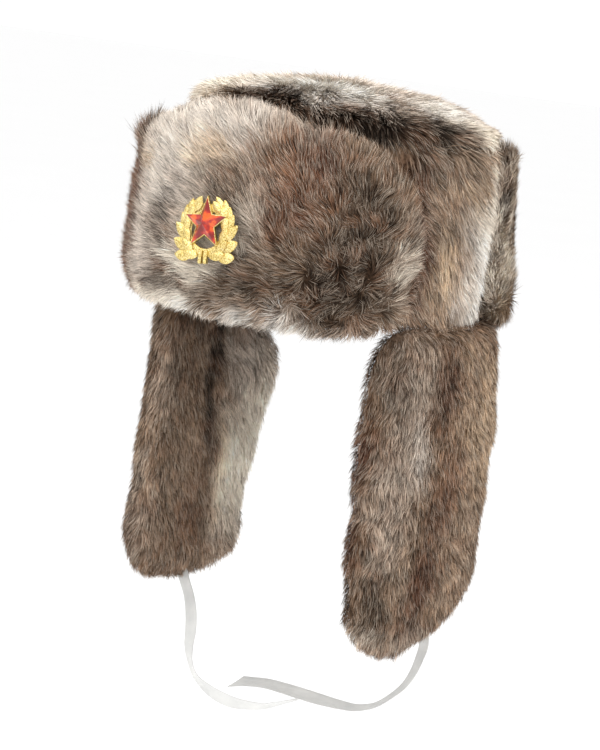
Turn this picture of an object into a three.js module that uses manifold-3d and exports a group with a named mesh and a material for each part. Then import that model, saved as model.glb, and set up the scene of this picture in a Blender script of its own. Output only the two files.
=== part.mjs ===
// Cossack hat: an ushanka in long-pile fur cloth, its ear flaps down and its other flaps turned up.
// Millimetres, +Z up. The front faces -Y and the wearer's left is +X.
// The origin is the centre of the head opening, in the plane of the rim.
import * as THREE from 'three';
import { mergeVertices } from 'three/addons/utils/BufferGeometryUtils.js';
import Module from 'manifold-3d';

const wasm = await Module();
wasm.setup();

// Head opening of a 57 cm hat, and the cloth shell round it
const head = { halfWidth: 87, halfDepth: 93 };
const shell = { wall: 3, height: 118, corner: 26, dome: 4, slices: 28 };
const gap = 0.4;

// Every lock of fur: its depth as a share of its width, how far along it is widest,
// the angle at which it lifts, how deep it is rooted and how much the sizes vary
const lockForm = { depth: 0.26, belly: 0.38, lift: 9, sink: 3, vary: 0.15 };

// The locks of each piece: their size, and how many rows and columns stand on it
const bandLocks = { width: 25, length: 42, rows: 4, columns: 2, highest: 104, lowest: 32 };
const capLocks = { width: 30, length: 44 };
const capLockRings = [{ out: 0.25, many: 4 }, { out: 0.5, many: 7 }, { out: 0.74, many: 10 }];
const frontLocks = { width: 27, length: 40, rows: 4, columns: 11 };
const backLocks = { width: 28, length: 35, rows: 3, columns: 10 };
const earLocks = { width: 28, length: 46, round: 9, rows: [0.19, 0.31, 0.41, 0.53, 0.7] };

// Fur of the crown: flattened behind the turned-up flaps, full between them
const band = { low: 2, high: 109.4, flat: 5, full: 15, slices: 40, sides: 8, squareness: 3.2 };
const cap = { low: 110, high: 137, edge: 15, flat: 3.4, full: 14, droop: 9, roundness: 3.2, slices: 30 };
const slumps = [{ towards: 118, share: 0.75 }, { towards: -86, share: 0.1 }];
const capRims = [
  { reach: 0.6, rise: 1.5, slump: 0 },
  { reach: 1, rise: 6.5, slump: 0 },
  { reach: 0.7, rise: cap.edge, slump: 0.5 },
];
const capInwards = [12, 34, 62];
const window = { start: 67, end: 98, fade: 8 };

// Turned-up flaps: a row for each section, angle in degrees from the front, heights above the rim
const flap = { inside: 6.6, squareness: 2.8, steps: 14, sides: 12, halfThick: 15, halfHeight: 62 };
const frontSections = [
  { angle: -66, low: 16, high: 78, thick: 13, lean: 0 },
  { angle: -62, low: 5, high: 96, thick: 26, lean: 0 },
  { angle: -53, low: -3, high: 98, thick: 34, lean: -0.03 },
  { angle: -40, low: -5, high: 102, thick: 34, lean: -0.03 },
  { angle: -28, low: -5, high: 109, thick: 33, lean: -0.02 },
  { angle: -14, low: -5, high: 118, thick: 31, lean: 0.01 },
  { angle: 0, low: -4, high: 120, thick: 30, lean: 0.03 },
  { angle: 12, low: -3, high: 117, thick: 30, lean: 0.03 },
  { angle: 22, low: -4, high: 112, thick: 30, lean: 0.04 },
  { angle: 38, low: -5, high: 107, thick: 29, lean: 0.03 },
  { angle: 47, low: -1, high: 96, thick: 27, lean: 0.02 },
  { angle: 54.5, low: 6, high: 80, thick: 20, lean: 0 },
  { angle: 58.5, low: 18, high: 62, thick: 9, lean: 0 },
];
const backSections = [
  { angle: 99, low: 24, high: 78, thick: 9, lean: 0 },
  { angle: 103, low: 10, high: 94, thick: 14, lean: -0.04 },
  { angle: 113, low: 2, high: 104, thick: 18, lean: -0.09 },
  { angle: 127, low: -4, high: 109, thick: 21, lean: -0.1 },
  { angle: 145, low: -8, high: 107, thick: 21, lean: -0.06 },
  { angle: 180, low: -9, high: 104, thick: 20, lean: 0.01 },
  { angle: 215, low: -8, high: 107, thick: 21, lean: -0.06 },
  { angle: 233, low: -4, high: 109, thick: 21, lean: -0.1 },
  { angle: 247, low: 2, high: 104, thick: 18, lean: -0.09 },
  { angle: 257, low: 10, high: 94, thick: 14, lean: -0.04 },
  { angle: 261, low: 24, high: 78, thick: 9, lean: 0 },
];

// Ear flaps: a row for each level, front and back edges along Y. Each has its own soft lower end.
// The pad is bowed round the head, less so lower down, and turned in at the front.
const ear = { middle: 97, toeIn: 0.075, bowTop: 15, bowBottom: 6, centre: -7, halfWidth: 57, halfThick: 15 };
const earForm = { length: 195, squareness: 2.5, steps: 10, sides: 12 };
const leftEarSections = [
  { z: -0.8, front: -50, back: 46, thick: 18 },
  { z: -6, front: -60, back: 58, thick: 26 },
  { z: -24, front: -68, back: 79, thick: 32 },
  { z: -65, front: -71, back: 90, thick: 35 },
  { z: -115, front: -71, back: 76, thick: 34 },
  { z: -148, front: -71, back: 65, thick: 33 },
  { z: -166, front: -69, back: 71, thick: 30 },
  { z: -180, front: -68, back: 50, thick: 26 },
  { z: -191, front: -62, back: 16, thick: 22 },
  { z: -198, front: -46, back: -4, thick: 14 },
  { z: -202, front: -32, back: -18, thick: 7 },
];
const rightEarSections = [
  { z: -0.8, front: -50, back: 34, thick: 18 },
  { z: -6, front: -59, back: 36, thick: 26 },
  { z: -24, front: -65, back: 44, thick: 32 },
  { z: -65, front: -68, back: 71, thick: 35 },
  { z: -112, front: -69, back: 66, thick: 34 },
  { z: -150, front: -71, back: 62, thick: 32 },
  { z: -172, front: -72, back: 62, thick: 30 },
  { z: -189, front: -58, back: 62, thick: 27 },
  { z: -199, front: -36, back: 58, thick: 20 },
  { z: -206, front: -10, back: 44, thick: 9 },
];

// Badge: a star in an open wreath, worn at the middle of the front flap. It leans back at the top
// and is turned a little towards the wearer's right.
const badge = { height: 48, proud: 7.6, tilt: 7, turn: 6 };
const wreath = { halfWidth: 17.5, halfHeight: 17, band: 5.5, thick: 1.2, openFrom: 84, openTo: 96 };
const leaves = { many: 6, start: -62, step: 25.5, thick: 2.6, centre: 1.1 };
const leafRows = [
  { outside: 1.2, lean: 62, straighten: 5, length: 12.5, width: 6.4 },
  { outside: -4, lean: 104, straighten: -1, length: 9.5, width: 4.8 },
];
const knot = { width: 2.6, height: 8, thick: 2.8, apart: 3.6, inset: 1.4 };
const star = { up: 3.6, tip: 15.2, waist: 0.42, back: 0.6, rim: 0.9, edge: 0.8, crest: 3 };
const tray = { thick: 2.2, recess: 1, outside: 0.8, inside: -0.6 };
const pin = { diameter: 2, length: 16, clearance: 0.6, hole: 60 };

// Satin ties: the routes that they hang along from the flaps' lower ends.
// Turn is how far the flat side is turned away, in degrees, from the direction of faceOn.
const ribbon = { width: 10, thick: 1, steps: 32 };
const faceOn = new THREE.Vector3(0.52, -0.83, 0.19);
const rightTieRoute = [
  { x: -96, y: 4, z: -209, turn: 30 },
  { x: -94, y: 6, z: -213, turn: 36 },
  { x: -90, y: 5, z: -218.5, turn: 40 },
  { x: -83, y: 2, z: -227, turn: 40 },
  { x: -77, y: -2, z: -237, turn: 36 },
  { x: -73, y: -6, z: -247, turn: 38 },
  { x: -70, y: -10, z: -257, turn: 50 },
  { x: -65, y: -13, z: -267, turn: 66 },
  { x: -57, y: -15, z: -275, turn: 60 },
  { x: -44, y: -16, z: -280, turn: 36 },
  { x: -29, y: -16, z: -282, turn: 26 },
  { x: -14, y: -16, z: -280, turn: 40 },
  { x: 0, y: -16, z: -276, turn: 54 },
  { x: 14, y: -16, z: -269, turn: 66 },
  { x: 30, y: -16, z: -261, turn: 80 },
];
const leftTieRoute = [
  { x: 95.5, y: 4, z: -197.5, turn: 40 },
  { x: 98, y: 8, z: -203.5, turn: 50 },
  { x: 99, y: 9, z: -211, turn: 58 },
  { x: 98, y: 8, z: -219, turn: 64 },
  { x: 96, y: 6, z: -229, turn: 70 },
  { x: 92, y: 3, z: -239, turn: 76 },
  { x: 85, y: -1, z: -248, turn: 82 },
  { x: 76, y: -4, z: -256, turn: 82 },
  { x: 64, y: -6, z: -261, turn: 74 },
  { x: 51, y: -6, z: -263, turn: 64 },
  { x: 37, y: -6, z: -264, turn: 54 },
  { x: 22, y: -5, z: -265, turn: 50 },
  { x: 7, y: -4, z: -266, turn: 54 },
  { x: -9, y: -2, z: -268, turn: 60 },
  { x: -25, y: 0, z: -272, turn: 62 },
  { x: -41, y: 2, z: -277, turn: 50 },
];

const fur = new THREE.MeshStandardMaterial({ color: 0x8f7a68, roughness: 0.95, metalness: 0 });
const darkFur = new THREE.MeshStandardMaterial({ color: 0x6f5b4c, roughness: 0.95, metalness: 0 });
const lining = new THREE.MeshStandardMaterial({ color: 0x3b2f29, roughness: 0.8, metalness: 0 });
const gilt = new THREE.MeshStandardMaterial({ color: 0xd2a545, roughness: 0.3, metalness: 1 });
const enamel = new THREE.MeshStandardMaterial({ color: 0xb3201c, roughness: 0.2, metalness: 0 });
const satin = new THREE.MeshStandardMaterial({ color: 0xc9c7c2, roughness: 0.4, metalness: 0 });

const degrees = THREE.MathUtils.degToRad;
const blend = THREE.MathUtils.lerp;
const smooth = THREE.MathUtils.smoothstep;

// A number from -1 to 1 that differs for each count, the same every time.
function vary(count) {
  const wave = Math.sin(count * 12.9898 + 4.1) * 43758.5453;
  return 2 * (wave - Math.floor(wave)) - 1;
}

// A point at an angle round the head, a distance out from the shell's outside, at a height.
function around(angle, out, z) {
  const a = head.halfWidth + shell.wall;
  const b = head.halfDepth + shell.wall;
  const normal = new THREE.Vector2(Math.sin(angle) / a, -Math.cos(angle) / b).normalize();
  const x = a * Math.sin(angle) + normal.x * out;
  const y = -b * Math.cos(angle) + normal.y * out;
  return new THREE.Vector3(x, y, z);
}

// One row of a section table at a fraction of its length, eased between the rows by a spline.
function rowAt(rows, along) {
  const row = {};
  for (const column of Object.keys(rows[0])) {
    const line = new THREE.SplineCurve(rows.map((r, i) => new THREE.Vector2(i, r[column])));
    row[column] = line.getPoint(along).y;
  }
  return row;
}

// A rounded-box outline: how far out along each of its two axes, from -1 to 1.
function roundedBox(turn, squareness) {
  const power = 2 / squareness;
  const across = Math.sign(Math.cos(turn)) * Math.abs(Math.cos(turn)) ** power;
  const upward = Math.sign(Math.sin(turn)) * Math.abs(Math.sin(turn)) ** power;
  return { across, upward };
}

// The turn at a share of the way round a rounded box, by distance along its outline.
function evenTurn(share, across, upward, squareness) {
  const steps = 96;
  const outline = [];
  for (let i = 0; i <= steps; i++) {
    const point = roundedBox(-Math.PI + (i / steps) * 2 * Math.PI, squareness);
    outline.push(new THREE.Vector2(point.across * across, point.upward * upward));
  }
  const lengths = [0];
  for (let i = 1; i <= steps; i++) lengths.push(lengths[i - 1] + outline[i].distanceTo(outline[i - 1]));
  const wanted = (share - Math.floor(share)) * lengths[steps];
  const next = lengths.findIndex((length) => length > wanted);
  const part = (wanted - lengths[next - 1]) / (lengths[next] - lengths[next - 1]);
  return -Math.PI + ((next - 1 + part) / steps) * 2 * Math.PI;
}

// A geometry turned into a solid: only positions, shared corners merged, faces pointing out.
function solid(geometry) {
  const bare = new THREE.BufferGeometry();
  bare.setAttribute('position', geometry.getAttribute('position').clone());
  bare.setIndex(geometry.index ? geometry.index.clone() : null);
  const merged = mergeVertices(bare, 1e-3);
  const corners = merged.getAttribute('position');
  const index = Array.from(merged.index.array);
  const kept = [];
  let volume = 0;
  for (let i = 0; i < index.length; i += 3) {
    const [a, b, c] = index.slice(i, i + 3);
    if (a === b || b === c || c === a) continue;
    const [p, q, r] = [a, b, c].map((n) => new THREE.Vector3().fromBufferAttribute(corners, n));
    volume += p.dot(q.cross(r));
    kept.push(a, b, c);
  }
  if (volume < 0) kept.reverse();
  const mesh = { numProp: 3, vertProperties: corners.array, triVerts: new Uint32Array(kept) };
  return new wasm.Manifold(new wasm.Mesh(mesh));
}

// The main body of a solid, without the crumbs that a cut may leave.
function largest(body) {
  return body.decompose().reduce((best, piece) => (piece.volume() > best.volume() ? piece : best));
}

// A solid turned back into a named mesh.
function meshOf(name, body, material) {
  const made = body.getMesh();
  const geometry = new THREE.BufferGeometry();
  geometry.setAttribute('position', new THREE.BufferAttribute(made.vertProperties, 3));
  geometry.setIndex(new THREE.BufferAttribute(made.triVerts, 1));
  geometry.computeVertexNormals();
  const mesh = new THREE.Mesh(geometry, material);
  mesh.name = name;
  return mesh;
}

// A closed body lofted through sections: place(along, turn, rim) gives each point.
function loft(place, steps, sides) {
  const body = new THREE.CylinderGeometry(1, 1, 1, sides, steps);
  const position = body.getAttribute('position');
  for (let i = 0; i < position.count; i++) {
    const x = position.getX(i);
    const z = position.getZ(i);
    const point = place(position.getY(i) + 0.5, Math.atan2(x, z), Math.hypot(x, z));
    position.setXYZ(i, point.x, point.y, point.z);
  }
  return solid(body);
}

// A closed ring whose section is given by place(angle, turn).
function ring(place, steps, sides) {
  const body = new THREE.TorusGeometry(2, 1, sides, steps);
  const position = body.getAttribute('position');
  for (let i = 0; i < position.count; i++) {
    const x = position.getX(i);
    const y = position.getY(i);
    const turn = Math.atan2(position.getZ(i), Math.hypot(x, y) - 2);
    const point = place(Math.atan2(y, x), turn);
    position.setXYZ(i, point.x, point.y, point.z);
  }
  return solid(body);
}

// One lock of fur: a ridged lozenge from a buried root to a lifted tip.
function lock(root, direction, normal, width, length) {
  const wedge = new THREE.OctahedronGeometry(0.5);
  const corners = wedge.getAttribute('position');
  for (let i = 0; i < corners.count; i++) {
    const isBelly = Math.abs(corners.getY(i)) < 0.1;
    corners.setY(i, isBelly ? lockForm.belly : corners.getY(i) + 0.5);
  }
  wedge.scale(width, length, width * lockForm.depth);
  const forward = direction.clone().normalize();
  const side = forward.clone().cross(normal).normalize();
  const up = side.clone().cross(forward);
  wedge.applyMatrix4(new THREE.Matrix4().makeBasis(side, forward, up));
  wedge.translate(root.x, root.y, root.z);
  return solid(wedge);
}

// The outward normal of a surface at two of its parameters, by small steps along both.
function normalAt(surface, u, v, centre) {
  const step = 0.004;
  const here = surface(u, v);
  const alongU = surface(u + step, v).sub(surface(u - step, v));
  const alongV = surface(u, v + step).sub(surface(u, v - step));
  const normal = alongU.cross(alongV).normalize();
  if (normal.dot(here.sub(centre)) < 0) normal.negate();
  return normal;
}

// A body with locks added at spots of its surface, each laid along the flow and cut to its share of length.
function withLocks(body, surface, centreOf, spots, flow, size, share = () => 1) {
  const lift = degrees(lockForm.lift);
  const locks = spots.map(([u, v], count) => {
    const root = surface(u, v);
    const normal = normalAt(surface, u, v, centreOf(u, v));
    const grain = flow(u, v).normalize();
    const level = grain.addScaledVector(normal, -grain.dot(normal)).normalize();
    const direction = level.multiplyScalar(Math.cos(lift)).addScaledVector(normal, Math.sin(lift));
    const width = size.width * (1 + lockForm.vary * vary(count));
    const length = size.length * (1 + lockForm.vary * vary(count + 57)) * share(u, v);
    root.addScaledVector(normal, -lockForm.sink);
    return lock(root, direction, normal, width, length);
  });
  return locks.reduce((sum, tuft) => sum.add(tuft), body);
}

// Roots in staggered rows between two limits of each parameter.
function staggered(rows, columns, uRange, vRange) {
  const spots = [];
  for (let r = 0; r < rows; r++) {
    for (let c = 0; c < columns; c++) {
      const shift = (r % 2) * 0.5 + 0.18 * vary(r * 31 + c);
      const u = blend(uRange[0], uRange[1], (c + 0.5 + shift - 0.25) / columns);
      const v = blend(vRange[0], vRange[1], (r + 0.5 + 0.15 * vary(r * 17 + c)) / rows);
      spots.push([u, v]);
    }
  }
  return spots;
}

// The shell's outside: how far in from the side wall, and how high, at a fraction of the way to the axis.
function shellProfile(inset) {
  const points = [];
  const side = head.halfWidth + shell.wall;
  const corner = shell.corner - inset;
  const centre = shell.height - shell.corner;
  for (let i = 0; i <= 5; i++) {
    const angle = (i / 5) * (Math.PI / 2);
    const radius = side - shell.corner + corner * Math.cos(angle);
    points.push(new THREE.Vector2(radius, centre + corner * Math.sin(angle)));
  }
  points.push(new THREE.Vector2(side * 0.35, shell.height + shell.dome * 0.75 - inset));
  points.push(new THREE.Vector2(0, shell.height + shell.dome - inset));
  return points;
}

// Cloth wall of the crown, open below.
function makeCrownShell() {
  const side = head.halfWidth + shell.wall;
  const outside = [new THREE.Vector2(side, 0), ...shellProfile(0)];
  const inside = [new THREE.Vector2(side - shell.wall, 0), ...shellProfile(shell.wall)].reverse();
  const wall = new THREE.LatheGeometry([...inside, ...outside], shell.slices);
  wall.rotateX(Math.PI / 2);
  wall.scale(1, (head.halfDepth + shell.wall) / side, 1);
  return meshOf('crown_shell', solid(wall), lining);
}

// How full the crown's fur stands at an angle: 0 behind a flap, 1 between the flaps.
function fullness(angle) {
  const turn = Math.abs(THREE.MathUtils.radToDeg(Math.atan2(Math.sin(angle), Math.cos(angle))));
  const opens = smooth(turn, window.start, window.start + window.fade);
  const closes = 1 - smooth(turn, window.end - window.fade, window.end);
  return opens * closes;
}

// The band's fur without its locks, grown on every side by a margin.
function bandBody(margin) {
  const place = (angle, turn) => {
    const outline = roundedBox(turn, band.squareness);
    const thick = blend(band.flat, band.full, fullness(angle)) + 2 * margin;
    const out = gap - margin + (thick / 2) * (1 + outline.across);
    const z = (band.low + band.high) / 2 + ((band.high - band.low) / 2 + margin) * outline.upward;
    return around(angle, out, z);
  };
  return ring(place, band.slices, band.sides);
}

// Fur of the side band.
function makeCrownBand() {
  let body = bandBody(0);
  const face = (u, v) => around(u, gap + blend(band.flat, band.full, fullness(u)), v);
  const centreOf = (u, v) => around(u, 0, v);
  const flow = () => new THREE.Vector3(0, 0.35, -1);
  const heights = [bandLocks.highest, bandLocks.lowest];
  for (const side of [1, -1]) {
    const limits = [side * degrees(window.start + 6), side * degrees(window.end - 11)];
    const spots = staggered(bandLocks.rows, bandLocks.columns, limits, heights);
    body = withLocks(body, face, centreOf, spots, flow, bandLocks);
  }
  return meshOf('crown_band_fur', body, fur);
}

// How far the top panel's edge droops at an angle: most behind the wearer's left, and over the right.
function slumpAt(angle) {
  const droops = slumps.map(({ towards, share }) => share * Math.cos(angle - degrees(towards)));
  return cap.droop * Math.max(0, ...droops);
}

// Height of the top panel at a distance in from its edge.
function capTop(angle, inward) {
  const side = head.halfWidth + shell.wall;
  const rise = cap.high - cap.low - cap.edge;
  const slump = slumpAt(angle) * (1 - inward / side);
  return cap.low + cap.edge + rise * (1 - (1 - inward / side) ** cap.roundness) - slump;
}

// Fur of the top panel: a low dome with a full edge, on the shell's rounded top.
function makeCrownTop() {
  const side = head.halfWidth + shell.wall;
  const depthRatio = (head.halfDepth + shell.wall) / side;
  const under = shellProfile(-gap).filter((p) => p.y > cap.low + 1).reverse();
  const seatAngle = Math.asin((cap.low - shell.height + shell.corner) / (shell.corner + gap));
  const seat = side - shell.corner + (shell.corner + gap) * Math.cos(seatAngle);
  const profile = [...under, new THREE.Vector2(seat, cap.low)];
  const underCount = profile.length;
  for (const rim of capRims) profile.push(new THREE.Vector2(side, cap.low + rim.rise));
  for (const inward of capInwards) profile.push(new THREE.Vector2(side - inward, cap.high));
  profile.push(new THREE.Vector2(0, cap.high));
  const dome = new THREE.LatheGeometry(profile, cap.slices);
  const position = dome.getAttribute('position');
  for (let i = 0; i < position.count; i++) {
    const level = (i % profile.length) - underCount;
    const angle = Math.atan2(position.getX(i), position.getZ(i));
    const radius = Math.hypot(position.getX(i), position.getZ(i));
    const rim = capRims[level];
    const inward = capInwards[level - capRims.length];
    const edge = blend(cap.flat, cap.full, fullness(angle));
    let point = new THREE.Vector3(radius * Math.sin(angle), 0, position.getY(i));
    point.y = -radius * depthRatio * Math.cos(angle);
    if (rim) point = around(angle, rim.reach * edge, cap.low + rim.rise - rim.slump * slumpAt(angle));
    if (inward) point.z = capTop(angle, inward);
    position.setXYZ(i, point.x, point.y, point.z);
  }
  const face = (u, v) => {
    const radius = v * side;
    const height = capTop(u, side - radius);
    return new THREE.Vector3(radius * Math.sin(u), -radius * depthRatio * Math.cos(u), height);
  };
  const centreOf = () => new THREE.Vector3(0, 0, 0);
  const flow = (u) => new THREE.Vector3(Math.sin(u) * 0.7 + 0.35, -Math.cos(u) * 0.5 + 0.6, 0);
  const spots = [];
  for (const { out, many } of capLockRings) {
    for (let i = 0; i < many; i++) {
      const angle = ((i + 0.3 * vary(i + many)) / many) * 2 * Math.PI;
      spots.push([angle, out]);
    }
  }
  return meshOf('crown_top_fur', withLocks(solid(dome), face, centreOf, spots, flow, capLocks), fur);
}

// The surface of a turned-up flap from its section table.
function flapPlace(rows) {
  return (along, turn, rim = 1) => {
    const row = rowAt(rows, along);
    const outline = roundedBox(turn, flap.squareness);
    const z = (row.low + row.high) / 2 + ((row.high - row.low) / 2) * outline.upward * rim;
    const thick = row.thick + row.lean * Math.max(z, 0);
    const out = flap.inside + (thick / 2) * (1 + outline.across * rim);
    return around(degrees(row.angle), out, z);
  };
}

// Locks near a flap's edges and ends are shorter.
function edgeShortening(u, v) {
  const edge = 1 - 0.62 * smooth(Math.abs(v), 0.4, 1.1);
  const end = 1 - 0.5 * smooth(Math.abs(u - 0.5), 0.25, 0.42);
  return edge * end;
}

// A turned-up flap: a curved pad with locks over its outer face, its top and its ends.
function makeFlap(rows, locks) {
  const place = flapPlace(rows);
  const pad = loft(place, flap.steps, flap.sides);
  const surface = (u, v) => place(THREE.MathUtils.clamp(u, 0, 1), v);
  const centreOf = (u) => place(THREE.MathUtils.clamp(u, 0, 1), 0, 0);
  const flow = (u, v) => {
    const sideways = surface(u + 0.01, v).sub(surface(u - 0.01, v)).normalize();
    const upright = new THREE.Vector3(0, 0, v > -0.5 ? 1 : -0.8);
    return upright.addScaledVector(sideways, 10.4 * (u - 0.5) ** 3 + 0.35);
  };
  const spots = staggered(locks.rows, locks.columns, [0.07, 0.93], [0.29, 0.69]);
  for (const spot of spots) spot[1] = evenTurn(spot[1], flap.halfThick, flap.halfHeight, flap.squareness);
  const body = withLocks(pad, surface, centreOf, spots, flow, locks, edgeShortening);
  return largest(body.subtract(bandBody(gap)));
}

// Front flap, with a clearance hole for the badge's pin.
function makeFrontFlap() {
  const radius = pin.diameter / 2 + pin.clearance;
  const hole = new THREE.CylinderGeometry(radius, radius, pin.hole, 10);
  hole.rotateX(Math.PI / 2);
  hole.applyMatrix4(badgePlace());
  return meshOf('front_flap', makeFlap(frontSections, frontLocks).subtract(solid(hole)), fur);
}

function makeBackFlap() {
  return meshOf('back_flap', makeFlap(backSections, backLocks), darkFur);
}

// The surface of an ear flap: sections one below the other, bowed round the head and turned in at the front.
function earPlace(rows, side) {
  return (along, turn, rim = 1) => {
    const row = rowAt(rows, along);
    const outline = roundedBox(turn, earForm.squareness);
    const y = (row.front + row.back) / 2 + ((row.back - row.front) / 2) * outline.upward * rim;
    const depth = THREE.MathUtils.clamp(-row.z / earForm.length, 0, 1);
    const bow = blend(ear.bowTop, ear.bowBottom, depth) * ((y - ear.centre) / ear.halfWidth) ** 2;
    const x = ear.middle + ear.toeIn * y - bow + (row.thick / 2) * outline.across * rim;
    return new THREE.Vector3(side * x, y, row.z);
  };
}

// Ear flap: a pad with locks over both faces and its edges, all lying downwards.
function makeEarFlap(name, rows, side) {
  const place = earPlace(rows, side);
  const pad = loft(place, earForm.steps, earForm.sides);
  const surface = (u, v) => place(THREE.MathUtils.clamp(v, 0, 1), u);
  const centreOf = (u, v) => place(THREE.MathUtils.clamp(v, 0, 1), 0, 0);
  const flow = (u) => new THREE.Vector3(0, 0.3 * Math.sin(u), -1);
  const shorten = (u, v) => 1 - 0.45 * smooth(v, 0.5, 0.8);
  const spots = [];
  for (const [row, along] of earLocks.rows.entries()) {
    for (let i = 0; i < earLocks.round; i++) {
      const share = (i + (row % 2) * 0.5 + 0.2 * vary(row * 31 + i)) / earLocks.round;
      const turn = evenTurn(share, ear.halfThick, ear.halfWidth, earForm.squareness);
      spots.push([turn, along + 0.012 * vary(row + i * 7)]);
    }
  }
  return meshOf(name, withLocks(pad, surface, centreOf, spots, flow, earLocks, shorten), fur);
}

// A five-pointed star outline: tips and waists by turns, one tip upwards.
function starRadius(corner, tip) {
  return corner % 2 === 0 ? tip : tip * star.waist;
}

function starShape(tip) {
  const shape = new THREE.Shape();
  for (let corner = 0; corner < 10; corner++) {
    const angle = Math.PI / 2 + (corner * Math.PI) / 5;
    const radius = starRadius(corner, tip);
    const x = radius * Math.cos(angle);
    const y = radius * Math.sin(angle);
    if (corner === 0) shape.moveTo(x, y);
    else shape.lineTo(x, y);
  }
  shape.closePath();
  return shape;
}

// The enamel: a star with a ridge to each tip, meeting at a low crest.
function starCrest() {
  const tip = star.tip - star.rim;
  const section = [[0, 0], [1, 0], [1, star.edge], [0, star.crest]];
  const profile = section.map(([reach, height]) => new THREE.Vector2(reach, height));
  const body = new THREE.LatheGeometry(profile, 10);
  const position = body.getAttribute('position');
  for (let i = 0; i < position.count; i++) {
    const corner = Math.floor(i / profile.length) % 10;
    const reach = Math.hypot(position.getX(i), position.getZ(i)) * starRadius(corner, tip);
    const angle = Math.PI / 2 + (corner * Math.PI) / 5;
    position.setXYZ(i, reach * Math.cos(angle), reach * Math.sin(angle), position.getY(i));
  }
  return solid(body);
}

// One leaf of the wreath: a low ridged lozenge that points along an angle.
function leaf(x, y, angle, length, width) {
  const bud = new THREE.OctahedronGeometry(0.5);
  bud.scale(width, length, leaves.thick);
  bud.rotateZ(angle - Math.PI / 2);
  bud.translate(x, y, leaves.centre);
  return solid(bud);
}

// The wreath's flat stem, open at the top, with the two bindings of its knot at the bottom.
function wreathStem() {
  const outline = new THREE.Shape();
  const from = degrees(wreath.openTo);
  const to = degrees(wreath.openFrom + 360);
  const outside = { x: wreath.halfWidth - 1, y: wreath.halfHeight - 1 };
  outline.absellipse(0, 0, outside.x, outside.y, from, to, false);
  outline.absellipse(0, 0, outside.x - wreath.band, outside.y - wreath.band, to, from, true);
  const stem = { depth: wreath.thick, bevelEnabled: false, curveSegments: 12 };
  let body = solid(new THREE.ExtrudeGeometry(outline, stem));
  for (const shift of [-knot.apart / 2, knot.apart / 2]) {
    const binding = new THREE.BoxGeometry(knot.width, knot.height, knot.thick);
    binding.translate(shift, knot.inset - wreath.halfHeight, knot.thick / 2 + 0.1);
    body = body.add(solid(binding));
  }
  return body;
}

// Wreath, star tray and hidden pin, as one piece of soldered metal.
function makeBadgeFrame() {
  let body = wreathStem();
  for (const side of [1, -1]) {
    for (let i = 0; i < leaves.many; i++) {
      const angle = degrees(leaves.start + i * leaves.step);
      for (const row of leafRows) {
        const x = side * Math.cos(angle) * (wreath.halfWidth + row.outside);
        const y = Math.sin(angle) * (wreath.halfHeight + row.outside);
        const lean = angle + degrees(row.lean + i * row.straighten);
        body = body.add(leaf(x, y, side > 0 ? lean : Math.PI - lean, row.length, row.width));
      }
    }
  }
  const plate = { depth: tray.thick, bevelEnabled: false };
  const dish = new THREE.ExtrudeGeometry(starShape(star.tip + tray.outside), plate);
  const hollow = new THREE.ExtrudeGeometry(starShape(star.tip + tray.inside), plate);
  dish.translate(0, star.up, star.back);
  hollow.translate(0, star.up, star.back + tray.thick - tray.recess);
  body = body.add(solid(dish)).subtract(solid(hollow));
  const post = new THREE.CylinderGeometry(pin.diameter / 2, pin.diameter / 2, pin.length, 8);
  post.rotateX(Math.PI / 2);
  post.translate(0, 0, wreath.thick / 2 - pin.length / 2);
  return meshOf('badge_frame', body.add(solid(post)), gilt);
}

function makeBadgeEnamel() {
  const mesh = meshOf('badge_enamel', starCrest(), enamel);
  mesh.position.set(0, star.up, star.back + tray.thick - tray.recess + gap);
  return mesh;
}

// Where the badge's own plane stands on the front flap.
function badgePlace() {
  const middle = frontSections[4];
  const face = around(0, flap.inside + middle.thick + middle.lean * badge.height, badge.height);
  const place = new THREE.Matrix4().makeTranslation(0, face.y - badge.proud, badge.height);
  place.multiply(new THREE.Matrix4().makeRotationX(Math.PI / 2 - degrees(badge.tilt)));
  return place.multiply(new THREE.Matrix4().makeRotationZ(degrees(badge.turn)));
}

// Badge parts lie in their own plane, which then stands up on the front flap.
function makeBadge() {
  const group = new THREE.Group();
  group.add(makeBadgeFrame(), makeBadgeEnamel());
  group.applyMatrix4(badgePlace());
  return group;
}

// A ribbon along its route: a flat strip, turned about its own length as the route says.
function makeTie(name, route) {
  const line = new THREE.CatmullRomCurve3(route.map((row) => new THREE.Vector3(row.x, row.y, row.z)));
  const turns = new THREE.SplineCurve(route.map((row, i) => new THREE.Vector2(i, row.turn)));
  const strip = new THREE.BoxGeometry(ribbon.width, ribbon.thick, 1, 1, 1, ribbon.steps);
  const position = strip.getAttribute('position');
  for (let i = 0; i < position.count; i++) {
    const along = position.getZ(i) + 0.5;
    const forward = line.getTangent(along).normalize();
    const across = forward.clone().cross(faceOn).normalize();
    across.applyAxisAngle(forward, degrees(turns.getPoint(along).y));
    const face = across.clone().cross(forward);
    const point = line.getPoint(along);
    point.addScaledVector(across, position.getX(i)).addScaledVector(face, position.getY(i));
    position.setXYZ(i, point.x, point.y, point.z);
  }
  return meshOf(name, solid(strip), satin);
}

const hat = new THREE.Group();
hat.add(makeCrownShell(), makeCrownBand(), makeCrownTop(), makeFrontFlap(), makeBackFlap());
hat.add(makeEarFlap('ear_flap_left', leftEarSections, 1));
hat.add(makeEarFlap('ear_flap_right', rightEarSections, -1));
hat.add(makeBadge(), makeTie('tie_left', leftTieRoute), makeTie('tie_right', rightTieRoute));

export default hat;
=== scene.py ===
import math

import bpy
import numpy as np
from mathutils import Matrix, Vector
from mathutils.kdtree import KDTree


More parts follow.
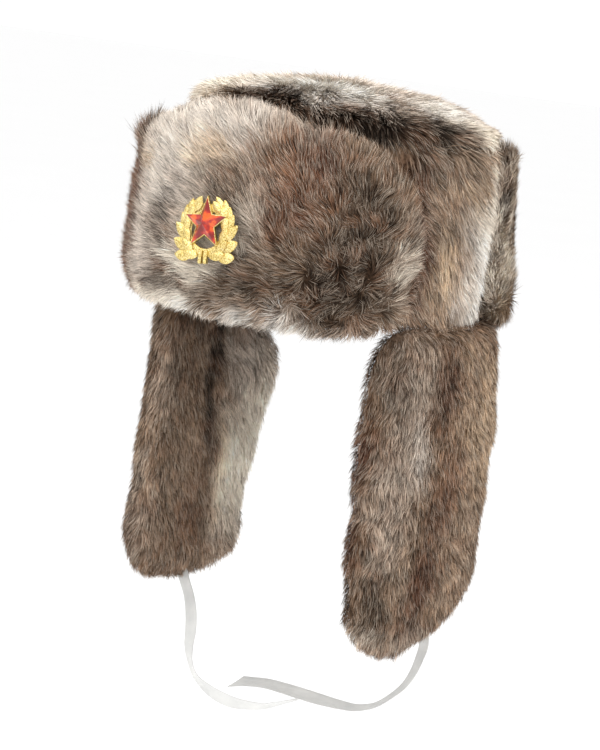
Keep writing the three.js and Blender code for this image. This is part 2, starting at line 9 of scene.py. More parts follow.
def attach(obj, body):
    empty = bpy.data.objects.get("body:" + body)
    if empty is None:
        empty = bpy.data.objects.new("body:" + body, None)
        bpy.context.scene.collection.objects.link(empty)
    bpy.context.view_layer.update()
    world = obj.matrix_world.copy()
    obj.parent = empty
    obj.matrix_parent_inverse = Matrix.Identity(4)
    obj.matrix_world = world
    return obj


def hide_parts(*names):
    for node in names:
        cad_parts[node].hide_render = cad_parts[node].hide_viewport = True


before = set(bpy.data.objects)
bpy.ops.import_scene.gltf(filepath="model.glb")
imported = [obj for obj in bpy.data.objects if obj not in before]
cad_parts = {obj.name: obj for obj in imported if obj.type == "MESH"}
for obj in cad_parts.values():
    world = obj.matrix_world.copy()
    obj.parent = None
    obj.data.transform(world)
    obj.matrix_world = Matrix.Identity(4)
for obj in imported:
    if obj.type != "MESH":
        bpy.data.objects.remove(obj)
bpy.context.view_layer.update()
mm = 0.001
bpy.ops.object.select_all(action="DESELECT")


# Shader maths: a wire is a socket that can be used in an expression.
class Wire:
    def __init__(self, graph, socket):
        self.graph = graph
        self.socket = socket

    def maths(self, operation, other):
        return self.graph.add("ShaderNodeMath", {"operation": operation}, {0: self, 1: other})

    def __add__(self, other):
        return self.maths("ADD", other)

    def __mul__(self, other):
        return self.maths("MULTIPLY", other)

    __radd__ = __add__
    __rmul__ = __mul__


# One material and its nodes.
class Graph:
    def __init__(self, name, constants):
        self.material = bpy.data.materials.new(name)
        self.material.use_nodes = True
        self.tree = self.material.node_tree
        self.shader = self.tree.nodes["Principled BSDF"]
        for socket, value in constants.items():
            self.shader.inputs[socket].default_value = value

    def fill(self, socket, value):
        if isinstance(value, Wire):
            self.tree.links.new(value.socket, socket)
        else:
            socket.default_value = value

    def add(self, kind, settings, sockets, output=0):
        made = self.tree.nodes.new(kind)
        for setting, value in settings.items():
            if setting == "stops":
                ramp = made.color_ramp
                while len(ramp.elements) < len(value):
                    ramp.elements.new(1)
                for element, (position, colour) in zip(ramp.elements, value):
                    element.position = position
                    element.color = (*colour, 1)
            else:
                setattr(made, setting, value)
        for socket, value in sockets.items():
            self.fill(made.inputs[socket], value)
        return Wire(self, made.outputs[output])

    def feed(self, socket, value):
        self.fill(self.shader.inputs[socket], value)

    def bump(self, height, strength, distance):
        sockets = {"Height": height, "Strength": strength, "Distance": distance}
        self.feed("Normal", self.add("ShaderNodeBump", {}, sockets))

    def objectPlace(self):
        return self.add("ShaderNodeTexCoord", {}, {}, "Object")

    def noise(self, place, scale, detail):
        return self.add("ShaderNodeTexNoise", {}, {"Vector": place, "Scale": scale, "Detail": detail}, "Fac")

    def ramp(self, factor, stops):
        return self.add("ShaderNodeValToRGB", {"stops": stops}, {"Fac": factor})


# Camera at the photograph's angle: it looks down a little, and is rolled.
viewer = dict(azimuth=32, elevation=11, roll=7, distance=1.15, across=-0.012, above=-0.052,
              lens=85.44, sensor=36)


def placeCamera():
    azimuth = math.radians(viewer["azimuth"])
    elevation = math.radians(viewer["elevation"])
    roll = math.radians(viewer["roll"])
    level = math.cos(elevation)
    back = Vector((level * math.sin(azimuth), -level * math.cos(azimuth), math.sin(elevation)))
    right = Vector((math.cos(azimuth), math.sin(azimuth), 0))
    up = back.cross(right)
    place = right * viewer["across"] + up * viewer["above"] + back * viewer["distance"]
    xAxis = right * math.cos(roll) + up * math.sin(roll)
    yAxis = up * math.cos(roll) - right * math.sin(roll)
    data = bpy.data.cameras.new("camera")
    data.lens = viewer["lens"]
    data.sensor_width = viewer["sensor"]
    data.clip_end = 50
    camera = bpy.data.objects.new("camera", data)
    bpy.context.scene.collection.objects.link(camera)
    turn = Matrix((xAxis, yAxis, back)).transposed().to_4x4()
    camera.matrix_world = Matrix.Translation(place) @ turn
    bpy.context.scene.camera = camera


placeCamera()
print("camera placed")


# A mesh object from arrays, its faces given as lists of corners with one length each.
def meshFrom(name, points, faceGroups):
    mesh = bpy.data.meshes.new(name)
    corners = np.concatenate([group.ravel() for group in faceGroups])
    sides = np.concatenate([np.full(len(group), group.shape[1]) for group in faceGroups])
    mesh.vertices.add(len(points))
    mesh.vertices.foreach_set("co", np.asarray(points, np.float32).ravel())
    mesh.loops.add(len(corners))
    mesh.loops.foreach_set("vertex_index", corners.astype(np.int32))
    mesh.polygons.add(len(sides))
    mesh.polygons.foreach_set("loop_start", np.concatenate([[0], np.cumsum(sides)[:-1]]).astype(np.int32))
    mesh.update(calc_edges=True)
    mesh.validate()
    made = bpy.data.objects.new(name, mesh)
    bpy.context.scene.collection.objects.link(made)
    return made


# A finished piece moves with the hat and stands for a CAD node.
def settle(piece, node):
    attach(piece, "root")
    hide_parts(node)


def smoothShade(piece):
    piece.data.polygons.foreach_set("use_smooth", np.ones(len(piece.data.polygons), bool))


def unit(rows):
    return rows / np.maximum(np.linalg.norm(rows, axis=-1, keepdims=True), 1e-9)


def smoothStep(value, low, high):
    share = np.clip((value - low) / (high - low), 0, 1)
    return share * share * (3 - 2 * share)


def mixRows(first, second, share):
    share = np.asarray(share)
    if share.ndim == 1:
        share = share[:, None]
    return first + (second - first) * share


# Satin ties. Each hangs along its route, in millimetres, and turn is how far its flat side
# is turned away from the viewer, in degrees. Its free end is cut at a slant.
ribbon = dict(width=10, thick=0.5, curl=0.7, rings=220, fineSteps=600, pathStep=6, slant=7, slantFrom=0.88,
              faceOn=(0.52, -0.83, 0.19))
# The ribbon's section: share of the width across, and of half the thickness up, thicker at both edges
ribbonSection = [
    (-0.5, 0.5), (-0.49, 0.9), (-0.25, 0.7), (0, 0.7), (0.25, 0.7), (0.49, 0.9), (0.5, 0.5),
    (0.49, -0.9), (0.25, -0.7), (0, -0.7), (-0.25, -0.7), (-0.49, -0.9),
]
rightTieRoute = [
    (-96, 4, -209, 30), (-94, 6, -213, 36), (-90, 5, -218.5, 40), (-83, 2, -227, 40), (-77, -2, -237, 36),
    (-73, -6, -247, 38), (-70, -10, -257, 50), (-65, -13, -267, 66), (-57, -15, -275, 60), (-44, -16, -280, 36),
    (-29, -16, -282, 26), (-14, -16, -280, 40), (0, -16, -276, 54), (14, -16, -269, 66), (30, -16, -261, 80),
]
leftTieRoute = [
    (95.5, 4, -197.5, 40), (98, 8, -203.5, 50), (99, 9, -211, 58), (98, 8, -219, 64), (96, 6, -229, 70),
    (92, 3, -239, 76), (85, -1, -248, 82), (76, -4, -256, 82), (64, -6, -261, 74), (51, -6, -263, 64),
    (37, -6, -264, 54), (22, -5, -265, 50), (7, -4, -266, 54), (-9, -2, -268, 60), (-25, 0, -272, 62),
    (-41, 2, -277, 50),
]


# Points on a smooth line through a table's rows, at equal shares of the row count.
def throughRows(rows, shares):
    rows = np.asarray(rows, float)
    padded = np.vstack([2 * rows[0] - rows[1], rows, 2 * rows[-1] - rows[-2]])
    at = np.clip(shares, 0, 1) * (len(rows) - 1)
    first = np.minimum(at.astype(int), len(rows) - 2)
    t = (at - first)[:, None]
    a, b, c, d = (padded[first + k] for k in range(4))
    return 0.5 * (2 * b + (c - a) * t + (2 * a - 5 * b + 4 * c - d) * t ** 2 + (3 * b - a - 3 * c + d) * t ** 3)


def satinMaterial():
    graph = Graph("satinRibbon", {"Roughness": 0.42, "Sheen Weight": 0.35, "Sheen Roughness": 0.4,
                                  "Specular IOR Level": 0.55})
    place = graph.add("ShaderNodeUVMap", {"uv_map": "ribbonMap"}, {})
    slubs = graph.noise(place, 60.0, 3.0)
    graph.feed("Base Color", graph.ramp(slubs, [(0.3, (0.60, 0.60, 0.585)), (0.7, (0.74, 0.735, 0.71))]))
    ribs = graph.add("ShaderNodeTexWave", {"bands_direction": "X"},
                     {"Vector": place, "Scale": 620.0, "Distortion": 0.4, "Detail": 1.0}, "Fac")
    graph.bump(ribs + slubs * 0.5, 0.25, 0.0002)
    return graph.material


satin = satinMaterial()


# The ribbon's points by ring and place in its section, and the same places on the flat ribbon.
def ribbonRings(route, length):
    faceOn = np.asarray(Vector(ribbon["faceOn"]).normalized())
    slantFrom = ribbon["slantFrom"]
    shares = np.linspace(0, 1, ribbon["rings"])
    late = np.maximum(shares - slantFrom, 0) / (1 - slantFrom)
    near = 0.004
    points, places = [], []
    for across, height in ribbonSection:
        cut = 1 - (ribbon["slant"] / length) * (across + 0.5)
        along = np.where(late > 0, slantFrom + late * (cut - slantFrom), shares)
        here = throughRows(route, along)
        ahead = unit(throughRows(route, along + near)[:, :3] - throughRows(route, along - near)[:, :3])
        side = unit(np.cross(ahead, faceOn))
        turn = np.radians(here[:, 3])[:, None]
        wide = side * np.cos(turn) + np.cross(ahead, side) * np.sin(turn)
        face = np.cross(wide, ahead)
        lift = height * ribbon["thick"] / 2 + ribbon["curl"] * (2 * across) ** 2
        points.append((here[:, :3] + wide * across * ribbon["width"] + face * lift) * mm)
        places.append(np.stack([along * length * mm, np.full(len(along), across * ribbon["width"] * mm)], 1))
    return np.stack(points, 1), np.stack(places, 1)


def makeTie(name, node, route):
    route = np.asarray(route, float)
    line = throughRows(route, np.linspace(0, 1, ribbon["fineSteps"]))[:, :3]
    length = np.linalg.norm(np.diff(line, axis=0), axis=1).sum()
    points, places = ribbonRings(route, length)
    count, around = points.shape[:2]
    ring = np.arange(count - 1)[:, None] * around
    here = ring + np.arange(around)[None, :]
    after = ring + (np.arange(around)[None, :] + 1) % around
    walls = np.stack([here, after, after + around, here + around], -1).reshape(-1, 4)
    ends = np.array([np.arange(around)[::-1], (count - 1) * around + np.arange(around)])
    tie = meshFrom(name, points.reshape(-1, 3), [walls, ends])
    layer = tie.data.uv_layers.new(name="ribbonMap")
    corners = np.empty(len(tie.data.loops), np.int32)
    tie.data.loops.foreach_get("vertex_index", corners)
    layer.data.foreach_set("uv", places.reshape(-1, 2)[corners].astype(np.float32).ravel())
    smoothShade(tie)
    tie.data.materials.append(satin)
    settle(tie, node)
    path = line[::ribbon["pathStep"]] * mm
    print(name, "is", round(length), "mm long")


makeTie("ribbonTieRight", "tie_right", rightTieRoute)
makeTie("ribbonTieLeft", "tie_left", leftTieRoute)


# Fur colours, as linear values
palette = dict(
    shadow=(0.030, 0.019, 0.013),
    dark=(0.090, 0.058, 0.038),
    darkRust=(0.170, 0.068, 0.040),
    rust=(0.390, 0.185, 0.100),
    brown=(0.340, 0.215, 0.135),
    taupe=(0.540, 0.375, 0.255),
    greyTaupe=(0.620, 0.500, 0.400),
    tan=(0.930, 0.680, 0.430),
    cream=(0.980, 0.880, 0.740),
    greyCream=(0.930, 0.850, 0.760),
    white=(0.990, 0.950, 0.890),
)


# A smooth wavering value from about -1 to 1 over space, the same for the same seed.
def ripple(points, size, seed):
    waves, height, slowest, faster = 7, 2.6, 0.6, 0.8
    draw = np.random.default_rng(seed)
    total = np.zeros(len(points))
    for _ in range(waves):
        direction = unit(draw.normal(size=3))
        rate = 2 * math.pi / size * (slowest + faster * draw.random())
        total += np.sin(points @ direction * rate + draw.random() * 2 * math.pi)
    return np.clip(total / height, -1, 1)


# Angle round the head from the front, in degrees, towards the wearer's left.
def angleOf(points):
    return np.degrees(np.arctan2(points[:, 0], -points[:, 1]))


def sidewaysOf(points):
    angle = np.radians(angleOf(points))
    return np.stack([np.cos(angle), np.sin(angle), np.zeros(len(points))], 1)


def outwardOf(points):
    return unit(points * np.array([1, 1, 0]))


# Fur cloth reads the colour painted on its mesh. The backing is the dark underfur between strands.
def furMaterial(name, depth, constants):
    graph = Graph(name, constants)
    painted = graph.add("ShaderNodeAttribute", {"attribute_name": "pileColour"}, {}, "Color")
    tufts = graph.noise(graph.objectPlace(), 420.0, 3.0)
    shade = graph.ramp(tufts, [(0.35, (depth, depth, depth)), (0.65, (1, 1, 1))])
    mixed = graph.add("ShaderNodeMix", {"data_type": "RGBA", "blend_type": "MULTIPLY"},
                      {0: 1.0, 6: painted, 7: shade}, 2)
    graph.feed("Base Color", mixed)
    return graph.material


backing = furMaterial("furBacking", 0.35, {"Roughness": 0.95, "Specular IOR Level": 0.1})
pile = furMaterial("furPile", 0.9, {"Roughness": 0.75, "Specular IOR Level": 0.12})


# The crown's cloth wall, that the fur pieces stand round: an ellipse seen from above, in millimetres
crown = dict(halfWidth=90, halfDepth=96)


# Points at angles round the head, a distance out from the crown's wall, at a height, in millimetres.
def aroundCrown(angle, out, z):
    a, b = crown["halfWidth"], crown["halfDepth"]
    facing = unit(np.stack([np.sin(angle) / a, -np.cos(angle) / b], -1))
    x = a * np.sin(angle) + facing[..., 0] * out
    y = -b * np.cos(angle) + facing[..., 1] * out
    return np.stack(np.broadcast_arrays(x, y, z), -1)


# A rounded-box outline of a number of points: how far out along its two axes, from -1 to 1.
def roundedBox(many, squareness):
    turn = np.linspace(-math.pi, math.pi, many, endpoint=False)
    power = 2 / squareness
    across = np.sign(np.cos(turn)) * np.abs(np.cos(turn)) ** power
    upward = np.sign(np.sin(turn)) * np.abs(np.sin(turn)) ** power
    return across[None, :], upward[None, :]


# A closed mesh through rings of points. Its ends are capped, or it runs round to its start.
def loftThrough(name, rings, roundToStart=False):
    many, around = rings.shape[:2]
    points = rings.reshape(-1, 3)
    ring = np.arange(many if roundToStart else many - 1)
    first = ring[:, None] * around + np.arange(around)[None, :]
    beside = ring[:, None] * around + (np.arange(around)[None, :] + 1) % around
    onward = ((ring + 1) % many)[:, None] * around - ring[:, None] * around
    walls = np.stack([first, beside, beside + onward, first + onward], -1).reshape(-1, 4)
    faces = [walls]
    if not roundToStart:
        caps = np.array([np.arange(around)[::-1], (many - 1) * around + np.arange(around)])
        faces.append(caps)
    a, b, c = (points[walls[:, k]] for k in (0, 1, 2))
    if (a * np.cross(b, c)).sum() < 0:
        faces = [group[:, ::-1] for group in faces]
    return meshFrom(name, points * mm, faces)


def pointsOf(mesh):
    points = np.empty(len(mesh.vertices) * 3, np.float32)
    mesh.vertices.foreach_get("co", points)
    return points.reshape(-1, 3).astype(float)


def normalsOf(mesh):
    return np.array([normal.vector for normal in mesh.vertex_normals])


# Pads lie an inset below the pile's surface, in millimetres, and never get thinner than the least halves.
padForm = dict(inset=4, rings=66, sides=44, flapInside=6.6, flapSquareness=2.8, leastHalfThick=1.5,
               leastHalfHeight=4, leastHalfWidth=3, swellSize=44)


# The padded cloth under a piece's pile, a little uneven.
def finishPad(pad, node, seed, unevenness=1.2):
    mesh = pad.data
    points = pointsOf(mesh)
    swell = ripple(points, padForm["swellSize"] * mm, seed) * unevenness * mm
    mesh.vertices.foreach_set("co", (points + normalsOf(mesh) * swell[:, None]).astype(np.float32).ravel())
    mesh.update()
    mesh.materials.append(backing)
    smoothShade(pad)
    settle(pad, node)
    return pad


# The columns of a table's rows, smoothly filled in between.
def columnsOf(rows):
    return (column[:, None] for column in throughRows(rows, np.linspace(0, 1, padForm["rings"])).T)


# Turned-up flaps: a row for each section, as angle in degrees from the front, lowest and highest
# height, thickness, and how much thicker it gets with height.
def flapPad(name, node, rows, seed):
    angle, low, high, thick, lean = columnsOf(rows)
    across, upward = roundedBox(padForm["sides"], padForm["flapSquareness"])
    inset = padForm["inset"]
    z = (low + high) / 2 + np.maximum((high - low) / 2 - inset, padForm["leastHalfHeight"]) * upward
    thick = thick + lean * np.maximum(z, 0)
    out = padForm["flapInside"] + thick / 2 + np.maximum(thick / 2 - inset, padForm["leastHalfThick"]) * across
    return finishPad(loftThrough(name, aroundCrown(np.radians(angle), out, z)), node, seed)


# Ear flaps: a row for each level, as height, front edge, back edge and thickness. The pad is bowed
# round the head, less so lower down, turned in at the front, and shorter than its pile.
ear = dict(middle=97, toeIn=0.075, bowTop=15, bowBottom=6, centre=-7, halfWidth=57, length=195, squareness=2.5,
           shorterBelow=-100, fan=0.3, fanMiddle=-5, fanHalfWidth=50)


def earPad(name, node, rows, side, seed):
    z, front, back, thick = columnsOf(rows)
    across, upward = roundedBox(padForm["sides"], ear["squareness"])
    inset, shorterBelow = padForm["inset"], ear["shorterBelow"]
    y = (front + back) / 2 + np.maximum((back - front) / 2 - inset, padForm["leastHalfWidth"]) * upward
    depth = np.clip(-z / ear["length"], 0, 1)
    bow = ear["bowTop"] + (ear["bowBottom"] - ear["bowTop"]) * depth
    bow = bow * ((y - ear["centre"]) / ear["halfWidth"]) ** 2
    halfThick = np.maximum(thick / 2 - inset, padForm["leastHalfThick"])
    x = ear["middle"] + ear["toeIn"] * y - bow + halfThick * across
    z = np.where(z < shorterBelow, z + inset * (z - shorterBelow) / -shorterBelow, z)
    rings = np.stack(np.broadcast_arrays(side * x, y, z), -1)
    return finishPad(loftThrough(name, rings), node, seed)


# Side band and top panel: flat behind the flaps, full between them
bandForm = dict(low=2, high=109.4, flat=5, full=15, start=67, end=98, fade=8, squareness=3.2, inside=0.6,
                inset=2, sunk=1, leastHalfThick=1.2, unevenness=0.6)
capForm = dict(low=108, high=136, edge=15, flat=3.4, full=13, droop=9, slumps=[(118, 0.75), (-86, 0.1)],
               roundness=3.2, inset=3, inwards=(12, 34, 62, 88.5), fineRings=48)
# The rings round its edge: share of the edge's thickness out, millimetres out and up, and share of the droop
capRims = [(0, -6, 1, 0), (0.6, 0, 1.5, 0), (1, 0, 6, 0.2), (0.4, 0, 12, 0.6)]


def fullness(angle):
    turn = np.abs(np.degrees(angle))
    opens = smoothStep(turn, bandForm["start"], bandForm["start"] + bandForm["fade"])
    return opens * (1 - smoothStep(turn, bandForm["end"] - bandForm["fade"], bandForm["end"]))


def fullCircle():
    return np.linspace(-math.pi, math.pi, 2 * padForm["rings"], endpoint=False)[:, None]


def bandPad(name, node, seed):
    angle = fullCircle()
    across, upward = roundedBox(padForm["sides"], bandForm["squareness"])
    thick = bandForm["flat"] + (bandForm["full"] - bandForm["flat"]) * fullness(angle)
    half = np.maximum(thick / 2 - bandForm["inset"], bandForm["leastHalfThick"])
    out = bandForm["inside"] + thick / 2 + half * across - bandForm["sunk"]
    low, high = bandForm["low"], bandForm["high"]
    z = (low + high) / 2 + ((high - low) / 2 - bandForm["inset"]) * upward
    rings = aroundCrown(angle, out, z)
    return finishPad(loftThrough(name, rings, roundToStart=True), node, seed, bandForm["unevenness"])


# The top panel's rings run from under its edge, out round the edge, and in over the crown.
def topPad(name, node, seed):
    angle = fullCircle()
    low, inset = capForm["low"], capForm["inset"]
    edge = capForm["flat"] + (capForm["full"] - capForm["flat"]) * fullness(angle) - inset
    slumps = [share * np.cos(angle - math.radians(towards)) for towards, share in capForm["slumps"]]
    droop = capForm["droop"] * np.maximum(np.maximum(*slumps), 0)
    profile = [aroundCrown(angle, share * edge + out, low + above - sag * droop)[:, 0]
               for share, out, above, sag in capRims]
    side = crown["halfWidth"]
    rise = capForm["high"] - low - capForm["edge"]
    for inward in capForm["inwards"]:
        z = low + capForm["edge"] + rise * (1 - (1 - inward / side) ** capForm["roundness"]) - inset
        z = z - droop * (1 - inward / side)
        radius = side - inward
        x = radius * np.sin(angle)
        y = -radius * crown["halfDepth"] / side * np.cos(angle)
        profile.append(np.stack([x, y, z], -1)[:, 0])
    flat = np.stack(profile).reshape(len(profile), -1)
    fine = throughRows(flat, np.linspace(0, 1, capForm["fineRings"]))
    return finishPad(loftThrough(name, fine.reshape(len(fine), -1, 3)), node, seed)


# Patches are placed in millimetres, with their size along X, Y and Z. One with a facing is only
# painted where the surface faces that way.
def patch(colour, amount, at, size, facing=None):
    return dict(colour=colour, amount=amount, at=at, size=size, facing=facing)


# How far a patch's edge wanders, broadly and finely, in millimetres, and how fast it fades
patchEdge = dict(broad=6, broadSize=34, fine=2.5, fineSize=12, fade=0.7, facing=(0.45, 0.8))


# Three ripples, one for each axis.
def rippleVector(points, size, seeds):
    return np.stack([ripple(points, size, seed) for seed in seeds], 1)


# Colour at each point: the piece's own, painted over with patches of other colours.
def patchColours(points, ups, base, patches):
    colours = np.tile(np.array(palette[base]), (len(points), 1))
    stray = rippleVector(points, patchEdge["broadSize"] * mm, (3, 5, 7)) * patchEdge["broad"]
    stray = stray + rippleVector(points, patchEdge["fineSize"] * mm, (4, 6, 8)) * patchEdge["fine"]
    moved = points / mm + stray
    for spot in patches:
        reach = (moved - np.array(spot["at"])) / np.array(spot["size"])
        share = spot["amount"] * np.exp(-((reach ** 2).sum(1)) ** 2 * patchEdge["fade"])
        if spot["facing"]:
            share = share * smoothStep(ups @ np.array(spot["facing"]), *patchEdge["facing"])
        colours = mixRows(colours, np.array(palette[spot["colour"]]), share)
    return colours


# Which strand leads each strand: the nearest of some of them, which its tip leans towards.
def leadersOf(roots, many, draw):
    leaders = draw.choice(len(roots), many, replace=False)
    tree = KDTree(many)
    for i, leader in enumerate(leaders):
        tree.insert(roots[leader], i)
    tree.balance()
    return leaders[np.array([tree.find(root)[1] for root in roots])]


# Strands, in degrees and millimetres, with their locks and the larger tufts that locks gather in
pileForm = dict(bend=14, unevenLift=11, middle=0.45, lockShare=0.15, tuftShare=0.014, lockPull=0.36,
                tuftPull=0.12, leastPull=0.5, tipsApart=0.25, middlesApart=0.8, middlePull=0.5, wave=0.36,
                waveSize=20, scatter=0.2, twist=35, least=0.7, spread=0.6, sink=1.0)
# How much a strand's tone varies by strand, lock, tuft and cloud, and its warm, pale and dull shares
furTone = dict(strand=0.3, lock=0.22, tuft=0.16, cloud=0.2, cloudSize=9, jitter=4, fullLight=0.8, steady=0.6,
               limits=(0.35, 1.7), rust=0.42, rustSize=16, pale=0.2, paleLock=0.26, paleStrand=0.6,
               paleCloud=0.2, paleCloudSize=14, leastPale=0.3, paleLight=(0, 0.16), paleMiddle=0.15,
               underLight=0.5, underWarm=(1, 0.92, 0.86), rootWarm=(1, 0.9, 0.82))
# The same on the darkest and on the palest fur: how likely a strand is dull, and how much of its colour shows
furLight = dict(dullChance=(0.22, 0.03), dull=(0.35, 0.75), root=(0.12, 0.98), middle=(0.5, 0.96),
                whole=(0.84, 1), paleTip=(0.6, 1))


# Colour painted on a mesh's points.
def paint(piece, colours):
    colours = np.concatenate([np.clip(colours, 0, 1), np.ones((len(colours), 1))], 1)
    layer = piece.data.color_attributes.new("pileColour", "FLOAT_COLOR", "POINT")
    layer.data.foreach_set("color", colours.astype(np.float32).ravel())


# Roots scattered over a pad, and which way is up from each.
def plantRoots(mesh, fur, draw):
    points, normals = pointsOf(mesh), normalsOf(mesh)
    mesh.calc_loop_triangles()
    corners = np.empty(len(mesh.loop_triangles) * 3, np.int32)
    mesh.loop_triangles.foreach_get("vertices", corners)
    corners = corners.reshape(-1, 3)
    a, b, c = (points[corners[:, k]] for k in range(3))
    across = np.cross(b - a, c - a)
    chance = np.linalg.norm(across, axis=1) * fur["density"]((a + b + c) / 3, unit(across))
    faces = draw.choice(len(corners), fur["strands"], p=chance / chance.sum())
    shares = draw.dirichlet((1, 1, 1), len(faces))
    roots = (points[corners[faces]] * shares[:, :, None]).sum(1)
    return roots, unit((normals[corners[faces]] * shares[:, :, None]).sum(1))


def alongSurface(flow, up):
    return flow - up * (flow * up).sum(1)[:, None]


# The way each strand lies, with the waves and the scatter of brushed fur.
def combed(roots, up, fur, draw):
    flow = fur["flow"](roots, up)
    flow = flow / np.maximum(np.linalg.norm(flow, axis=1, keepdims=True), 1)
    seeds = [fur["seed"] + k for k in range(3)]
    flow = flow + pileForm["wave"] * rippleVector(roots, pileForm["waveSize"] * mm, seeds)
    flow = unit(unit(alongSurface(flow, up)) + pileForm["scatter"] * draw.normal(size=flow.shape))
    return unit(alongSurface(flow, up))


def unevenShares(draw, many):
    return pileForm["least"] + pileForm["spread"] * draw.random(many)


def lightnessOf(colours):
    return np.clip(colours.mean(1) / furTone["fullLight"], 0, 1)[:, None]


def byLight(what, light):
    dark, pale = furLight[what]
    return dark + (pale - dark) * light


# Colours of each strand's root, middle and tip, from the patches under it.
def strandColours(roots, up, flow, fur, lockLeader, tuftLeader, draw):
    many = len(roots)
    jitter = flow * (draw.normal(size=many) * furTone["jitter"] * mm)[:, None]
    base = patchColours(roots + jitter, up, fur["base"], fur["patches"])
    tone = 1 + furTone["strand"] * draw.normal(size=many) + furTone["lock"] * draw.normal(size=many)[lockLeader]
    tone = tone + furTone["tuft"] * draw.normal(size=many)[tuftLeader]
    tone = tone + furTone["cloud"] * ripple(roots, furTone["cloudSize"] * mm, fur["seed"] + 7)
    light = lightnessOf(base)
    rusty = np.clip(ripple(roots, furTone["rustSize"] * mm, fur["seed"] + 9), 0, 1)[:, None]
    base = mixRows(base, np.array(palette["rust"]), furTone["rust"] * rusty * (1 - light))
    base = base * np.clip(1 + (tone - 1)[:, None] * (1 - furTone["steady"] * light), *furTone["limits"])
    light = lightnessOf(base)
    paleness = furTone["pale"] + furTone["paleLock"] * draw.normal(size=many)[lockLeader]
    paleness = paleness + furTone["paleStrand"] * draw.normal(size=many)
    paleness = paleness + furTone["paleCloud"] * ripple(roots, furTone["paleCloudSize"] * mm, 11)
    least = furTone["leastPale"]
    paleness = np.clip(paleness, 0, 1)[:, None] * fur["pale"]
    paleness = paleness * (least + (1 - least) * smoothStep(light, *furTone["paleLight"]))
    pale = mixRows(np.array(palette["taupe"]), np.array(palette["cream"]), byLight("paleTip", light))
    base = base * byLight("whole", light)
    middle = mixRows(base * byLight("middle", light), pale, furTone["paleMiddle"] * paleness)
    tip = mixRows(base, pale, paleness)
    isDull = draw.random(many)[:, None] < byLight("dullChance", light)
    dull = base * byLight("dull", light)
    root = base * byLight("root", light) * np.array(furTone["rootWarm"])
    return root, np.where(isDull, dull, middle), np.where(isDull, dull, tip)


# The pile of one fur piece: kite-shaped strands that root on its pad, as one joined mesh.
def growPile(name, node, pad, fur):
    draw = np.random.default_rng(fur["seed"])
    under = patchColours(pointsOf(pad.data), normalsOf(pad.data), fur["base"], fur["patches"])
    shade = fur["under"] + furTone["underLight"] * under.mean(1)[:, None]
    paint(pad, under * shade * np.array(furTone["underWarm"]))
    roots, up = plantRoots(pad.data, fur, draw)
    many = len(roots)
    flow = combed(roots, up, fur, draw)
    length = fur["length"] * mm * fur["lengthAt"](roots, up) * unevenShares(draw, many)
    lift = fur["lift"] + fur["liftAt"](roots) + pileForm["unevenLift"] * draw.normal(size=many)
    lift = np.radians(lift)[:, None]
    bend = np.radians(pileForm["bend"])
    near, far = length[:, None] * pileForm["middle"], length[:, None] * (1 - pileForm["middle"])
    middles = roots + near * (flow * np.cos(lift + bend) + up * np.sin(lift + bend))
    tips = middles + far * (flow * np.cos(lift - bend) + up * np.sin(lift - bend))
    lockLeader = leadersOf(roots, int(many * pileForm["lockShare"]), draw)
    tuftLeader = leadersOf(roots, int(many * pileForm["tuftShare"]), draw)
    for leader, pull in ((lockLeader, pileForm["lockPull"]), (tuftLeader, pileForm["tuftPull"])):
        apart = roots - roots[leader]
        amount = pull * (pileForm["leastPull"] + (1 - pileForm["leastPull"]) * draw.random(many))
        tips = mixRows(tips, tips[leader] + pileForm["tipsApart"] * apart, amount)
        middles = mixRows(middles, middles[leader] + pileForm["middlesApart"] * apart,
                          pileForm["middlePull"] * amount)

    ahead = unit(tips - roots)
    side = unit(np.cross(ahead, up))
    roll = np.radians(pileForm["twist"] * draw.normal(size=many))[:, None]
    side = unit(side * np.cos(roll) + np.cross(ahead, side) * np.sin(roll))
    wide = fur["width"] * mm * unevenShares(draw, many)[:, None] / 2
    sink = roots - up * pileForm["sink"] * mm
    vertices = np.stack([sink, middles - side * wide, middles + side * wide, tips], 1).reshape(-1, 3)
    first = np.arange(many)[:, None] * 4
    strands = meshFrom(name, vertices, [first + [0, 2, 1], first + [1, 2, 3]])
    root, middle, tip = strandColours(roots, up, flow, fur, lockLeader, tuftLeader, draw)
    paint(strands, np.stack([root, middle, middle, tip], 1).reshape(-1, 3))
    smoothShade(strands)
    strands.data.normals_split_custom_set_from_vertices(np.repeat(up, 4, axis=0).tolist())
    strands.data.materials.append(pile)
    settle(strands, node)
    print(name, "has", many, "strands")


def evenLength(roots, up):
    return np.ones(len(roots))


def evenLift(roots):
    return np.zeros(len(roots))


# How much of the flaps' pile roots on their inner side, and where their outer side starts
flapPile = dict(inside=0.12, outer=(-0.75, -0.1))


def outsideDensity(points, normals):
    facing = (normals * outwardOf(points)).sum(1)
    return flapPile["inside"] + (1 - flapPile["inside"]) * smoothStep(facing, *flapPile["outer"])


# Front flap: its pile spreads from a whorl at the lower corner on the wearer's left, mostly up and
# to the wearer's right, droops along the bottom and turns outwards at both ends.


